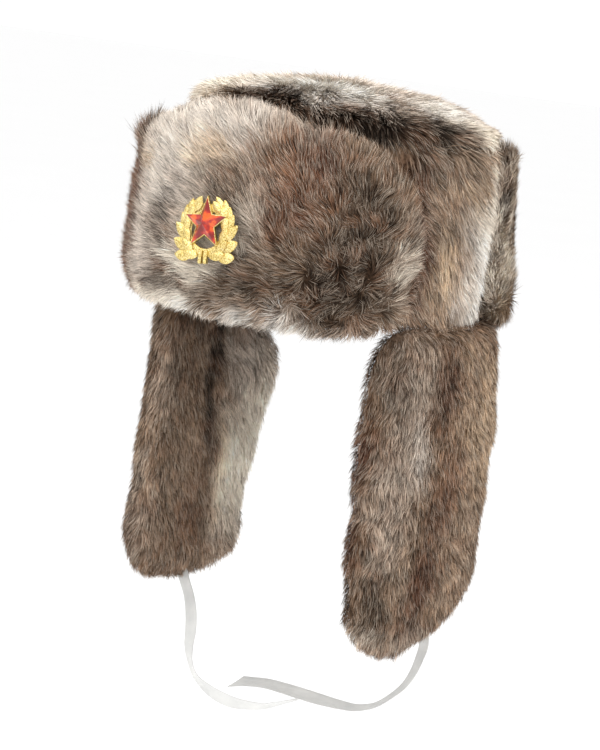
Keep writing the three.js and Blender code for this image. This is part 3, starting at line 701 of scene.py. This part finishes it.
def frontFlow(roots, up):
    whorl, comb = frontFlap["whorl"], frontFlap["comb"]
    angle = angleOf(roots)
    z = roots[:, 2] / mm
    wander = [share * ripple(roots, size * mm, seed)
              for share, size, seed in zip(whorl["wander"], whorl["wanderSize"], (31, 32))]
    along = (angle - whorl["angle"]) * whorl["perDegree"] + wander[0]
    above = z - whorl["z"] + wander[1]
    far = np.hypot(along, above)
    turn = math.radians(whorl["swirlAngle"]) * np.exp(-far / whorl["swirl"])
    along, above = along * np.cos(turn) - above * np.sin(turn), along * np.sin(turn) + above * np.cos(turn)
    stray = whorl["stray"] * np.exp(-far / whorl["strayReach"])
    drift = along / (far + whorl["core"]) + stray * ripple(roots, whorl["straySize"] * mm, 33)
    rise = above / (far + whorl["core"]) + stray * ripple(roots, whorl["straySize"] * mm, 34)
    rise = rise + comb["rise"] * smoothStep(z, *comb["riseZ"])
    rise = rise - comb["droop"] * (1 - smoothStep(z, *comb["droopZ"]))
    drift = drift + comb["left"] * smoothStep(angle, *comb["leftAngles"])
    lowRight = smoothStep(-angle, *comb["rightAngles"]) * (1 - smoothStep(z, *comb["rightZ"]))
    drift = drift - comb["right"] * lowRight
    return sidewaysOf(roots) * drift[:, None] + np.array([0, 0, 1]) * rise[:, None]


# How far across and above the badge's middle a root is, and whether it is on the flap's front.
def placeAtBadge(roots):
    badgeSpot = frontFlap["badgeSpot"]
    across = roots[:, 0] / mm - badgeSpot["x"]
    return across, roots[:, 2] / mm - badgeSpot["z"], roots[:, 1] < badgeSpot["frontY"]


# The pile stands up behind the badge, so that the badge rests on it and it shows round the star.
def frontLift(roots):
    badgeSpot = frontFlap["badgeSpot"]
    across, above, isFront = placeAtBadge(roots)
    return badgeSpot["lift"] * np.exp(-(np.hypot(across, above) / badgeSpot["reach"]) ** 4) * isFront


# Longer at the horn of the upper corner and over the badge's lower edge, and pressed down under it.
def frontLength(roots, up):
    badgeSpot, overBadge, horn = frontFlap["badgeSpot"], frontFlap["overBadge"], frontFlap["horn"]
    across, above, isFront = placeAtBadge(roots)
    starts, full, fades, ends = horn["angles"]
    side = -angleOf(roots)
    hornShare = smoothStep(side, starts, full) * (1 - smoothStep(side, fades, ends))
    hornShare = hornShare * smoothStep(roots[:, 2] / mm, *horn["z"])
    hornShare = hornShare * smoothStep((up * outwardOf(roots)).sum(1), *horn["facing"])
    apart = np.hypot(across - overBadge["x"], above + overBadge["below"]) / overBadge["size"]
    over = np.exp(-apart ** 2)
    length = 1 + horn["longer"] * hornShare + overBadge["longer"] * over * isFront
    fromMiddle = np.hypot(across / badgeSpot["halfWidth"], above / badgeSpot["halfHeight"])
    isUnder = (fromMiddle < badgeSpot["covered"]) & (over < overBadge["edge"])
    isMiddle = np.hypot(across, above) < badgeSpot["hollow"]
    under = np.where(isMiddle, badgeSpot["filled"], badgeSpot["pressed"])
    return np.where(isUnder & isFront, under, length)


frontFlap = dict(
    rows=[
        (-66, 16, 78, 13, 0), (-62, 5, 96, 26, 0), (-53, -3, 98, 34, -0.03), (-40, -5, 102, 34, -0.03),
        (-28, -5, 109, 33, -0.02), (-14, -5, 118, 31, 0.01), (0, -4, 120, 30, 0.03), (12, -3, 117, 30, 0.03),
        (22, -4, 112, 30, 0.04), (38, -5, 107, 29, 0.03), (47, -1, 96, 27, 0.02), (54.5, 6, 80, 20, 0),
        (58.5, 18, 62, 9, 0),
    ],
    whorl=dict(angle=39, z=24, perDegree=2.3, swirl=22, swirlAngle=55, core=27, wander=(10, 9),
               wanderSize=(22, 20), stray=1.5, strayReach=34, straySize=12),
    comb=dict(rise=0.35, riseZ=(16, 40), droop=0.5, droopZ=(-4, 10), left=0.5, leftAngles=(47, 56),
              right=0.7, rightAngles=(40, 60), rightZ=(70, 90)),
    badgeSpot=dict(x=0, z=48, frontY=-0.09, halfWidth=22, halfHeight=20, hollow=12, reach=22, lift=36,
                   pressed=0.98, filled=1.1, covered=0.85),
    overBadge=dict(x=20, below=17, size=7, longer=1.2, edge=0.2),
    horn=dict(angles=(38, 44, 50, 55), z=(72, 88), facing=(-0.1, 0.4), longer=0.9),
    seed=101, strands=94000, length=11, width=0.38, lift=34, under=0.38, pale=0.8, base="brown",
    flow=frontFlow, density=outsideDensity, lengthAt=frontLength, liftAt=frontLift,
    patches=[
        patch("greyCream", 0.8, (-44, -120, 88), (44, 34, 34)),
        patch("greyCream", 0.75, (0, -132, 106), (32, 30, 16)),
        patch("greyTaupe", 0.7, (44, -126, 114), (34, 30, 10)),
        patch("greyCream", 0.6, (-56, -116, 36), (28, 30, 36)),
        patch("cream", 0.9, (0, -134, 48), (17, 24, 16)),
        patch("cream", 0.8, (18, -132, 34), (9, 20, 9)),
        patch("tan", 0.6, (-66, -110, 78), (13, 16, 9)),
        patch("tan", 0.55, (-8, -136, 86), (17, 20, 10)),
        patch("dark", 0.7, (-34, -126, 62), (6, 20, 15)),
        patch("dark", 0.8, (-42, -122, 44), (6, 20, 15)),
        patch("dark", 0.6, (-30, -126, 28), (7, 20, 9)),
        patch("cream", 0.7, (25, -132, 56), (8, 20, 28)),
        patch("dark", 0.2, (52, -121, 66), (40, 30, 36)),
        patch("rust", 0.75, (52, -120, 72), (26, 26, 24)),
        patch("darkRust", 0.85, (60, -117, 94), (17, 16, 14)),
        patch("darkRust", 0.75, (46, -122, 60), (14, 14, 13)),
        patch("dark", 0.65, (82, -102, 70), (18, 20, 26)),
        patch("dark", 0.8, (30, -127, 20), (36, 24, 9)),
        patch("dark", 0.75, (72, -106, 22), (30, 28, 19)),
        patch("shadow", 0.55, (70, -106, 22), (15, 16, 9)),
        patch("dark", 0.6, (80, -102, 44), (18, 20, 18)),
        patch("cream", 0.95, (-10, -132, 24), (26, 18, 7)),
        patch("cream", 0.9, (-40, -124, 0), (42, 26, 12)),
        patch("dark", 0.8, (-30, -124, 13), (32, 20, 5)),
        patch("white", 0.9, (10, -122, -4), (66, 36, 9)),
        patch("cream", 0.75, (99, -70, 44), (8, 12, 54)),
        patch("darkRust", 1.0, (-87, -103, 62), (17, 17, 32)),
        patch("darkRust", 0.95, (-91, -99, 20), (15, 15, 34)),
        patch("dark", 0.8, (-88, -94, 94), (13, 13, 13)),
        patch("cream", 0.9, (101, -62, 46), (12, 12, 58), (0.98, 0.0, 0)),
        # Painted shade: dark rust on the flap's end where it faces the band, standing in for the shadow in the
        # gap between them.
        patch("darkRust", 0.95, (90, -58, 50), (12, 12, 58), (0.5, 0.87, 0)),
    ],
)
growPile("frontFlapPile", "front_flap", flapPad("frontFlapPad", "front_flap", frontFlap["rows"], 21), frontFlap)


# Back flap: its pile stands up and runs outwards at both ends, and lies closest half-way up.


def backLength(roots, up):
    comb, z = backFlap["comb"], roots[:, 2] / mm
    shorter = comb["shorter"] * np.exp(-((z - comb["shortZ"]) / comb["shortReach"]) ** 2)
    return 1 - shorter + comb["longer"] * np.exp(-((z - comb["longZ"]) / comb["longReach"]) ** 2)


def backFlow(roots, up):
    comb, angle = backFlap["comb"], angleOf(roots) % 360
    ends = smoothStep(angle, *comb["rightAngles"]) - (1 - smoothStep(angle, *comb["leftAngles"]))
    drift = comb["outwards"] * ends + comb["drift"]
    rise = comb["rise"] * smoothStep(roots[:, 2] / mm, *comb["riseZ"]) - comb["droop"]
    return sidewaysOf(roots) * drift[:, None] + np.array([0, 0, 1]) * rise[:, None]


backFlap = dict(
    rows=[
        (99, 24, 78, 9, 0), (103, 10, 94, 14, -0.04), (113, 2, 104, 18, -0.09), (127, -4, 109, 21, -0.1),
        (145, -8, 107, 21, -0.06), (180, -9, 104, 20, 0.01), (215, -8, 107, 21, -0.06),
        (233, -4, 109, 21, -0.1), (247, 2, 104, 18, -0.09), (257, 10, 94, 14, -0.04), (261, 24, 78, 9, 0),
    ],
    comb=dict(leftAngles=(102, 135), rightAngles=(225, 258), outwards=1.2, drift=0.15, rise=1.6, riseZ=(0, 26),
              droop=0.6, shorter=0.4, shortZ=52, shortReach=24, longer=0.25, longZ=16, longReach=12),
    seed=202, strands=74000, length=11, width=0.38, lift=34, under=0.38, pale=0.8, base="brown",
    flow=backFlow, density=outsideDensity, lengthAt=backLength, liftAt=evenLift,
    patches=[
        patch("cream", 0.9, (106, 34, 60), (18, 34, 70)),
        patch("darkRust", 0.6, (97, 10, 46), (6, 7, 50)),
        patch("brown", 0.7, (106, 24, 84), (12, 12, 9)),
        patch("darkRust", 0.8, (112, 36, 56), (10, 10, 20), (0.85, 0.5, 0)),
        patch("cream", 0.7, (104, 30, 114), (14, 24, 9)),
        patch("darkRust", 0.9, (106, 26, 97), (14, 14, 6)),
        patch("dark", 0.5, (106, 22, 72), (9, 10, 9)),
        patch("brown", 0.6, (106, 26, 50), (10, 10, 10)),
        patch("darkRust", 0.85, (114, 48, 40), (9, 12, 9)),
        patch("darkRust", 0.8, (112, 50, 16), (10, 14, 8)),
        patch("tan", 0.5, (106, 50, 2), (14, 20, 7)),
        patch("greyCream", 0.8, (-30, 120, 80), (45, 40, 20)),
        patch("rust", 0.7, (40, 118, 50), (34, 30, 26)),
        patch("dark", 0.7, (10, 118, 14), (60, 34, 10)),
        patch("cream", 0.7, (60, 100, 100), (30, 30, 12)),
        patch("tan", 0.5, (-70, 92, 50), (22, 24, 20)),
        patch("cream", 0.75, (0, 118, -6), (80, 34, 8)),
        patch("darkRust", 0.6, (-96, 20, 50), (9, 12, 55)),
    ],
)
growPile("backFlapPile", "back_flap", flapPad("backFlapPad", "back_flap", backFlap["rows"], 22), backFlap)


# Crown: the top's pile fans outwards and falls over the edge, and the side band's runs down and back.


def topFlow(roots, up):
    comb = crownTop["comb"]
    steep = 1 - smoothStep(up[:, 2], *comb["steep"])
    fall = np.array([0, 0, comb["fall"]]) * steep[:, None]
    return outwardOf(roots) * comb["fan"] + np.array(comb["drift"]) - fall


# Shorter where the top runs down behind the back flap.
def topLength(roots, up):
    comb, angle = crownTop["comb"], angleOf(roots) % 360
    starts, full, fades, ends = comb["behind"]
    edge = smoothStep(np.hypot(roots[:, 0], roots[:, 1]), *comb["edge"])
    return 1 - comb["shorter"] * edge * smoothStep(angle, starts, full) * (1 - smoothStep(angle, fades, ends))


def topDensity(points, normals):
    return smoothStep(normals[:, 2], *crownTop["comb"]["upwards"])


crownTop = dict(
    comb=dict(fan=0.8, drift=(0.15, 0.35, 0), fall=1.1, steep=(0.1, 0.8), shorter=0.45, edge=(0.07, 0.09),
              behind=(82, 100, 255, 275), upwards=(-0.7, 0.1)),
    seed=303, strands=68000, length=12, width=0.4, lift=28, under=0.38, pale=0.85, base="taupe",
    flow=topFlow, density=topDensity, lengthAt=topLength, liftAt=evenLift,
    patches=[
        patch("cream", 0.9, (-54, -52, 130), (42, 44, 24)),
        patch("taupe", 0.7, (-30, -54, 137), (18, 12, 8)),
        patch("white", 1.0, (12, -46, 134), (40, 42, 20)),
        patch("white", 0.85, (66, 4, 130), (30, 44, 20)),
        patch("rust", 0.9, (46, -40, 138), (10, 10, 10)),
        patch("cream", 0.9, (92, 2, 122), (14, 38, 16)),
        patch("greyCream", 0.7, (0, 30, 138), (34, 30, 20)),
        patch("tan", 0.5, (-40, 50, 134), (26, 22, 20)),
        patch("brown", 0.6, (50, 60, 134), (30, 26, 20)),
        # Painted shade: the dark patches at -12 and 34 across lie in the valley behind the front flap, and are
        # dark fur with painted shade in it.
        patch("dark", 0.95, (-12, -84, 122), (30, 18, 10)),
        patch("shadow", 0.3, (8, -90, 116), (26, 12, 6)),
        patch("dark", 0.95, (34, -88, 116), (28, 15, 9)),
        patch("dark", 1.0, (60, -76, 118), (30, 22, 15)),
        patch("dark", 1.0, (84, -48, 114), (20, 28, 15)),
        patch("shadow", 0.6, (72, -64, 114), (22, 22, 10)),
    ],
)
growPile("crownTopPile", "crown_top_fur", topPad("crownTopPad", "crown_top_fur", 23), crownTop)


def bandFlow(roots, up):
    return np.tile(np.array(crownBand["comb"]["lay"]), (len(roots), 1))


# The band shows between the flaps only.
def bandDensity(points, normals):
    comb, angle = crownBand["comb"], np.abs(angleOf(points))
    starts, full, fades, ends = comb["between"]
    between = smoothStep(angle, starts, full) * (1 - smoothStep(angle, fades, ends))
    outside = smoothStep((normals * outwardOf(points)).sum(1), *comb["outside"])
    return outside * (comb["hidden"] + (1 - comb["hidden"]) * between)


crownBand = dict(
    comb=dict(lay=(0.1, 0.55, -1.0), between=(52, 62, 104, 116), outside=(-0.4, 0.3), hidden=0.01),
    seed=404, strands=44000, length=12, width=0.4, lift=28, under=0.38, pale=0.85, base="taupe",
    flow=bandFlow, density=bandDensity, lengthAt=evenLength, liftAt=evenLift,
    patches=[
        patch("dark", 0.6, (88, -38, 104), (18, 18, 7)),
        patch("tan", 0.5, (104, -16, 88), (8, 10, 14)),
        patch("dark", 0.5, (98, -28, 64), (9, 10, 12)),
        patch("greyTaupe", 0.6, (104, -18, 66), (8, 12, 12)),
        patch("cream", 0.9, (106, -1, 58), (9, 15, 38)),
        patch("white", 1.0, (106, -10, 34), (10, 20, 34)),
        patch("cream", 0.8, (106, 2, 96), (8, 12, 16)),
        patch("tan", 0.7, (97, -36, 46), (9, 9, 15)),
        # Painted shade: a dark rust strip where the band meets the front flap's end, standing in for the shadow
        # in the gap beside the flap.
        patch("darkRust", 1.0, (92, -56, 50), (12, 14, 66)),
        patch("brown", 0.5, (100, -20, 6), (14, 14, 6)),
        patch("greyCream", 0.7, (-104, -10, 60), (12, 14, 50)),
        patch("brown", 0.6, (-100, 4, 80), (12, 12, 20)),
    ],
)
growPile("crownBandPile", "crown_band_fur", bandPad("crownBandPad", "crown_band_fur", 24), crownBand)


# Ear flaps: their pile hangs down, and outwards along both edges.


def earFlow(roots, up):
    fan = ear["fan"] * np.clip((roots[:, 1] / mm - ear["fanMiddle"]) / ear["fanHalfWidth"], -1, 1)
    return np.stack([np.zeros(len(roots)), fan, np.full(len(roots), -1.0)], 1)


def evenDensity(points, normals):
    return np.ones(len(points))


leftEarFlap = dict(
    rows=[
        (-0.8, -50, 46, 18), (-6, -60, 58, 26), (-24, -68, 79, 32), (-65, -71, 90, 35), (-115, -71, 76, 34),
        (-148, -71, 65, 33), (-166, -69, 71, 30), (-180, -68, 50, 26), (-191, -62, 16, 22),
        (-198, -46, -4, 14), (-202, -32, -18, 7),
    ],
    seed=505, strands=86000, length=9, width=0.37, lift=28, under=0.55, pale=0.7, base="brown",
    flow=earFlow, density=evenDensity, lengthAt=evenLength, liftAt=evenLift,
    patches=[
        patch("taupe", 0.8, (112, 20, -60), (14, 38, 70)),
        patch("tan", 0.35, (112, 30, -50), (12, 34, 50)),
        patch("taupe", 0.6, (110, 14, -150), (12, 30, 34)),
        patch("greyTaupe", 0.7, (94, -50, -56), (18, 16, 56)),
        patch("dark", 0.5, (86, -58, -30), (9, 9, 18)),
        patch("greyCream", 0.6, (99, -42, -70), (9, 8, 18)),
        patch("greyTaupe", 0.65, (92, -56, -112), (12, 14, 44)),
        patch("taupe", 0.6, (98, -44, -160), (12, 14, 34)),
        patch("darkRust", 0.95, (107, -28, -28), (12, 11, 30)),
        patch("dark", 0.5, (108, -26, -38), (10, 6, 22)),
        patch("rust", 0.55, (111, -10, -86), (12, 14, 30)),
        patch("darkRust", 0.6, (111, -14, -108), (10, 12, 22)),
        patch("darkRust", 0.85, (108, -26, -160), (12, 13, 34)),
        patch("darkRust", 0.9, (76, -67, -90), (9, 8, 54)),
        patch("dark", 0.85, (90, -58, -168), (14, 11, 22)),
        patch("cream", 0.6, (88, -60, -192), (14, 14, 8)),
        patch("tan", 0.5, (108, 54, -60), (12, 11, 60)),
        patch("greyTaupe", 0.6, (96, -30, -196), (14, 30, 8)),
        patch("cream", 0.6, (72, 20, -100), (12, 30, 50)),
        patch("tan", 0.4, (74, -30, -60), (12, 20, 40)),
    ],
)
rightEarFlap = dict(
    rows=[
        (-0.8, -50, 34, 18), (-6, -59, 36, 26), (-24, -65, 44, 32), (-65, -68, 71, 35), (-112, -69, 66, 34),
        (-150, -71, 62, 32), (-172, -72, 62, 30), (-189, -58, 62, 27), (-199, -36, 58, 20),
        (-206, -10, 44, 9),
    ],
    seed=606, strands=84000, length=9.5, width=0.37, lift=28, under=0.6, pale=0.8, base="brown",
    flow=earFlow, density=evenDensity, lengthAt=evenLength, liftAt=evenLift,
    patches=[
        patch("greyTaupe", 0.7, (-78, -56, -62), (9, 9, 24)),
        patch("taupe", 0.7, (-82, -40, -110), (14, 28, 60)),
        patch("greyTaupe", 0.6, (-84, -64, -150), (9, 8, 34)),
        patch("dark", 0.4, (-90, -68, -176), (10, 6, 20)),
        patch("greyCream", 0.5, (-79, 36, -60), (16, 28, 34)),
        patch("shadow", 0.95, (-78, 0, -26), (14, 8, 28)),
        patch("shadow", 0.95, (-78, -10, -66), (14, 7, 24)),
        patch("shadow", 0.9, (-79, -4, -98), (14, 7, 18)),
        patch("darkRust", 0.9, (-79, 10, -112), (12, 10, 10)),
        patch("tan", 0.9, (-80, 20, -128), (14, 9, 34)),
        patch("cream", 1.0, (-80, 46, -132), (24, 30, 56)),
        patch("cream", 0.8, (-78, 60, -90), (20, 12, 30)),
        patch("greyTaupe", 0.6, (-80, 26, -180), (12, 18, 14)),
        patch("rust", 0.5, (-81, -14, -160), (12, 18, 24)),
        patch("tan", 0.5, (-104, -66, -110), (9, 10, 60)),
        patch("greyTaupe", 0.6, (-112, 0, -80), (14, 34, 50)),
        patch("darkRust", 0.5, (-112, -20, -150), (14, 20, 30)),
    ],
)
growPile("earFlapLeftPile", "ear_flap_left",
         earPad("earFlapLeftPad", "ear_flap_left", leftEarFlap["rows"], 1, 25), leftEarFlap)
growPile("earFlapRightPile", "ear_flap_right",
         earPad("earFlapRightPad", "ear_flap_right", rightEarFlap["rows"], -1, 26), rightEarFlap)


# Badge: it is modelled in its own plane, and then stood up on the front flap, leaning back at the top.
badge = dict(place=(0, -0.14164, 0.048), lean=83, turn=6, starInset=0.42, starUp=3.6, bandSize=(2.4, 8, 2.8),
             bandPlace=(-15.6, 1.6), bandApart=1.8, bandRound=0.7, pinRadius=1, pinLength=16, pinMiddle=-7.4)
# Each star's reach, the height of its back, the height of its edge, and how far its middle stands up
goldStarForm = (16, 0.9, 1.6, 2.4)
redStarForm = (14.6, 2.2, 0.6, 4.2)
# The stem is a ring with a gap at the top; inset, width and thickness are its section's.
wreath = dict(halfWidth=15, halfHeight=15.5, openTo=98, openFrom=82, rings=90, sides=12, squareness=2.6,
              inset=2.2, width=2.4, thick=0.6)
# A leaf's rows and columns, its outline and veins, and how it falls away across and along
leafForm = dict(rows=19, columns=9, outline=(1.8, 0.8), leastHalf=0.02, vein=0.16, veinWidth=0.16,
                sideVein=0.09, sideVeins=16, slant=9, thick=0.8, fallAcross=0.75, roundAcross=1.6,
                fallAlong=0.5, below=0.5)
# The leaves of one side, as root and tip across and up, width, and height above the stem
leafRows = [
    (9, -15.5, 21, -15, 7, 0.6), (10.5, -11.5, 22.4, -6, 7, 0.8), (11, -7, 21.6, 3.6, 6.6, 1.0),
    (12.5, -3, 18, 9.6, 6.2, 0.8), (14, 1, 15, 14, 5.6, 0.9), (13.6, 5.5, 11, 17.8, 5.4, 1.0),
    (11, 9.5, 5, 19.4, 5.4, 0.9), (4, -15.5, 14.5, -13.2, 6, 1.6), (8, -13, 15.5, -5.6, 5.6, 1.8),
    (11, -8, 14.6, 2.2, 5.2, 1.9), (12.6, -1, 13.4, 8.6, 4.8, 1.9), (12, 5, 9.4, 14, 4.6, 1.9),
    (9.5, 10, 3.6, 16.6, 4.4, 1.9),
]


# One leaf with a middle vein and slanted side veins, pointing along +X.
def leafPoints(length, width):
    along = np.linspace(-1, 1, leafForm["rows"])[:, None]
    across = np.linspace(-1, 1, leafForm["columns"])[None, :]
    fullness, taper = leafForm["outline"]
    half = width / 2 * (1 - np.abs(along) ** fullness) ** taper + leafForm["leastHalf"]
    slanted = leafForm["sideVeins"] * along - leafForm["slant"] * np.abs(across)
    vein = leafForm["vein"] * np.exp(-(across / leafForm["veinWidth"]) ** 2)
    vein = vein + leafForm["sideVein"] * np.cos(slanted)
    height = leafForm["thick"] * (1 - leafForm["fallAcross"] * np.abs(across) ** leafForm["roundAcross"])
    height = height * (1 - leafForm["fallAlong"] * along ** 2) + vein * (1 - np.abs(across))
    upper = np.stack(np.broadcast_arrays(along * length / 2, half * across, height), -1)
    lower = upper * np.array([1, 1, 0]) - np.array([0, 0, leafForm["below"]])
    return upper, lower


# The quads of a sheet of rows of points, with its own underside and rim, as one closed body.
def closedSheetFaces(rows, columns):
    grid = np.arange(rows * columns).reshape(rows, columns)
    cell = np.stack([grid[:-1, :-1], grid[1:, :-1], grid[1:, 1:], grid[:-1, 1:]], -1).reshape(-1, 4)
    rim = np.concatenate([grid[0, :-1], grid[:-1, -1], grid[-1, :0:-1], grid[:0:-1, 0]])
    onward = np.roll(rim, -1)
    below = rows * columns
    wall = np.stack([rim, onward, onward + below, rim + below], -1)
    return np.concatenate([cell, cell[:, ::-1] + below, wall])


def wreathLeaves():
    points, faces = [], []
    for side in (1, -1):
        for rootX, rootY, tipX, tipY, width, height in leafRows:
            across, upward = side * (tipX - rootX), tipY - rootY
            length = math.hypot(across, upward)
            ahead = np.array([across, upward, 0]) / length
            turn = np.array([ahead, [-ahead[1], ahead[0], 0], [0, 0, 1]])
            middle = np.array([side * (rootX + tipX) / 2, (rootY + tipY) / 2, height])
            upper, lower = leafPoints(length, width)
            faces.append(closedSheetFaces(*upper.shape[:2]) + sum(len(group) for group in points))
            points.append(np.concatenate([upper.reshape(-1, 3), lower.reshape(-1, 3)]) @ turn + middle)
    return meshFrom("badgeWreath", np.concatenate(points) * mm, [np.concatenate(faces)])


# The stem under the leaves, open at the top.
def wreathStem():
    angle = np.radians(np.linspace(wreath["openTo"], wreath["openFrom"] + 360, wreath["rings"]))[:, None]
    across, upward = roundedBox(wreath["sides"], wreath["squareness"])
    reach = 1 - wreath["inset"] / wreath["halfWidth"] + across * wreath["width"] / wreath["halfWidth"]
    x = wreath["halfWidth"] * reach * np.cos(angle)
    y = wreath["halfHeight"] * reach * np.sin(angle)
    z = wreath["thick"] + wreath["thick"] * upward
    return loftThrough("wreathStem", np.stack(np.broadcast_arrays(x, y, z), -1))


# A five-pointed star with a ridge to each tip, from a ten-sided disc.
def starFrom(name, tip, base, edge, crest):
    bpy.ops.mesh.primitive_circle_add(vertices=10, radius=tip * mm, fill_type="TRIFAN", location=(0, 0, 0))
    star = bpy.context.object
    star.name = name
    bpy.ops.object.mode_set(mode="EDIT")
    bpy.ops.mesh.select_all(action="SELECT")
    bpy.ops.mesh.extrude_region_move(TRANSFORM_OT_translate={"value": (0, 0, edge * mm)})
    bpy.ops.mesh.select_all(action="SELECT")
    bpy.ops.mesh.normals_make_consistent(inside=False)
    bpy.ops.object.mode_set(mode="OBJECT")
    for point in star.data.vertices:
        x, y, z = point.co / mm
        corner = round((math.degrees(math.atan2(y, x)) - 90) / 36)
        inwards = badge["starInset"] if corner % 2 else 1
        rise = crest if math.hypot(x, y) < 1 and z > edge / 2 else z
        point.co = Vector((x * inwards, y * inwards + badge["starUp"], rise + base)) * mm
    return star


# One of the two bands that bind the stem at the bottom.
def binding(across):
    y, z = badge["bandPlace"]
    bpy.ops.mesh.primitive_cube_add(size=mm, location=(across * mm, y * mm, z * mm))
    band = bpy.context.object
    band.scale = badge["bandSize"]
    bpy.ops.object.transform_apply(location=True, rotation=False, scale=True)
    bpy.ops.object.mode_set(mode="EDIT")
    bpy.ops.mesh.select_all(action="SELECT")
    bpy.ops.mesh.bevel(offset=badge["bandRound"] * mm, segments=4)
    bpy.ops.object.mode_set(mode="OBJECT")
    return band


def badgePin():
    radius, length, middle = (badge[what] * mm for what in ("pinRadius", "pinLength", "pinMiddle"))
    bpy.ops.mesh.primitive_cylinder_add(vertices=16, radius=radius, depth=length, location=(0, 0, middle))
    post = bpy.context.object
    bpy.ops.object.transform_apply(location=True, rotation=False, scale=False)
    return post


# Stands a finished badge piece up on the front flap.
def wearBadge(piece, node, material):
    stand = Matrix.Translation(badge["place"]) @ Matrix.Rotation(math.radians(badge["lean"]), 4, "X")
    piece.data.transform(stand @ Matrix.Rotation(math.radians(badge["turn"]), 4, "Z"))
    piece.data.materials.clear()
    piece.data.materials.append(material)
    settle(piece, node)


def joinInto(piece, others):
    bpy.ops.object.select_all(action="DESELECT")
    for other in [*others, piece]:
        other.select_set(True)
    bpy.context.view_layer.objects.active = piece
    bpy.ops.object.join()
    return piece


def giltMaterial():
    graph = Graph("giltMetal", {"Metallic": 1.0})
    place = graph.objectPlace()
    stipple = graph.noise(place, 1500.0, 2.0)
    wear = graph.noise(place, 140.0, 3.0)
    # Painted glints: the stipple is the gilt's grain, and its palest yellow grains stand in for light caught on
    # the gold.
    stops = [(0.34, (0.40, 0.25, 0.05)), (0.5, (0.80, 0.62, 0.22)), (0.66, (1.0, 0.90, 0.50))]
    graph.feed("Base Color", graph.ramp(stipple * 0.8 + wear * 0.2, stops))
    graph.feed("Roughness", 0.26 + stipple * 0.25)
    graph.bump(stipple, 0.6, 0.0005)
    return graph.material


def enamelMaterial():
    graph = Graph("redEnamel", {"Roughness": 0.22, "Coat Weight": 0.5, "Coat Roughness": 0.06,
                                "Specular IOR Level": 0.4})
    # Painted highlights: the noise runs the enamel from deep red to orange-red, and the orange-red spots stand
    # in for light caught on the star's facets.
    depth = graph.noise(graph.objectPlace(), 170.0, 2.0)
    stops = [(0.42, (0.20, 0.005, 0.003)), (0.54, (0.45, 0.018, 0.005)), (0.62, (0.80, 0.110, 0.008))]
    graph.feed("Base Color", graph.ramp(depth, stops))
    graph.bump(depth, 0.2, 0.0004)
    return graph.material


bpy.ops.object.select_all(action="DESELECT")
leaves = wreathLeaves()
smoothShade(leaves)
stem = wreathStem()
smoothShade(stem)
goldStar = starFrom("goldStar", *goldStarForm)
joinInto(leaves, [stem, goldStar, binding(-badge["bandApart"]), binding(badge["bandApart"]), badgePin()])
wearBadge(leaves, "badge_frame", giltMaterial())
wearBadge(starFrom("badgeStar", *redStarForm), "badge_enamel", enamelMaterial())
print("badge made")


# Lining: the crown's own wall, as packed.
def liningMaterial():
    graph = Graph("quiltedLining", {"Roughness": 0.75, "Sheen Weight": 0.05, "Specular IOR Level": 0.2})
    place = graph.objectPlace()
    weave = graph.noise(place, 1400.0, 2.0)
    fade = graph.noise(place, 24.0, 3.0)
    graph.feed("Base Color", graph.ramp(fade, [(0.3, (0.060, 0.045, 0.038)), (0.7, (0.110, 0.085, 0.070))]))
    graph.bump(weave, 0.2, 0.0003)
    return graph.material


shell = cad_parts["crown_shell"].data
shell.materials.clear()
shell.materials.append(liningMaterial())
print("lining dressed")


# Studio: a pale floor well below the ties, white surroundings and soft lamps
studio = dict(floorHeight=-0.62, floorHalf=30, white=0.97, drift=0.02, surround=1.03)
# Each lamp's name, place, aim, size and power
lamps = [
    ("keyLamp", (-0.5, -1.6, 1.3), (0, 0, -0.03), 1.4, 14),
    ("fillLamp", (1.7, -0.6, 0.5), (0, 0, -0.05), 1.2, 7),
    ("topLamp", (0.2, -0.1, 1.5), (0, 0, 0), 1.1, 12),
]


def paperMaterial():
    graph = Graph("studioPaper", {"Roughness": 0.9, "Specular IOR Level": 0.2})
    white, shade = studio["white"], studio["white"] - studio["drift"]
    drift = graph.noise(graph.objectPlace(), 2.0, 2.0)
    graph.feed("Base Color", graph.ramp(drift, [(0.0, (white, white, white)), (1.0, (shade, shade, shade))]))
    return graph.material


def addLamp(name, place, aim, size, power):
    data = bpy.data.lights.new(name, "AREA")
    data.size = size
    data.energy = power
    lamp = bpy.data.objects.new(name, data)
    bpy.context.scene.collection.objects.link(lamp)
    lamp.location = place
    lamp.rotation_euler = (Vector(aim) - Vector(place)).to_track_quat("-Z", "Y").to_euler()


def setStudio():
    bpy.ops.mesh.primitive_plane_add(size=2 * studio["floorHalf"], location=(0, 0, studio["floorHeight"]))
    floor = bpy.context.object
    floor.name = "studioFloor"
    floor.data.materials.append(paperMaterial())
    world = bpy.data.worlds.new("studioWhite")
    bpy.context.scene.world = world
    world.use_nodes = True
    background = world.node_tree.nodes["Background"]
    background.inputs["Color"].default_value = (1, 1, 1, 1)
    background.inputs["Strength"].default_value = studio["surround"]
    for row in lamps:
        addLamp(*row)
    bpy.context.scene.view_settings.view_transform = "Standard"


setStudio()
print("studio set")
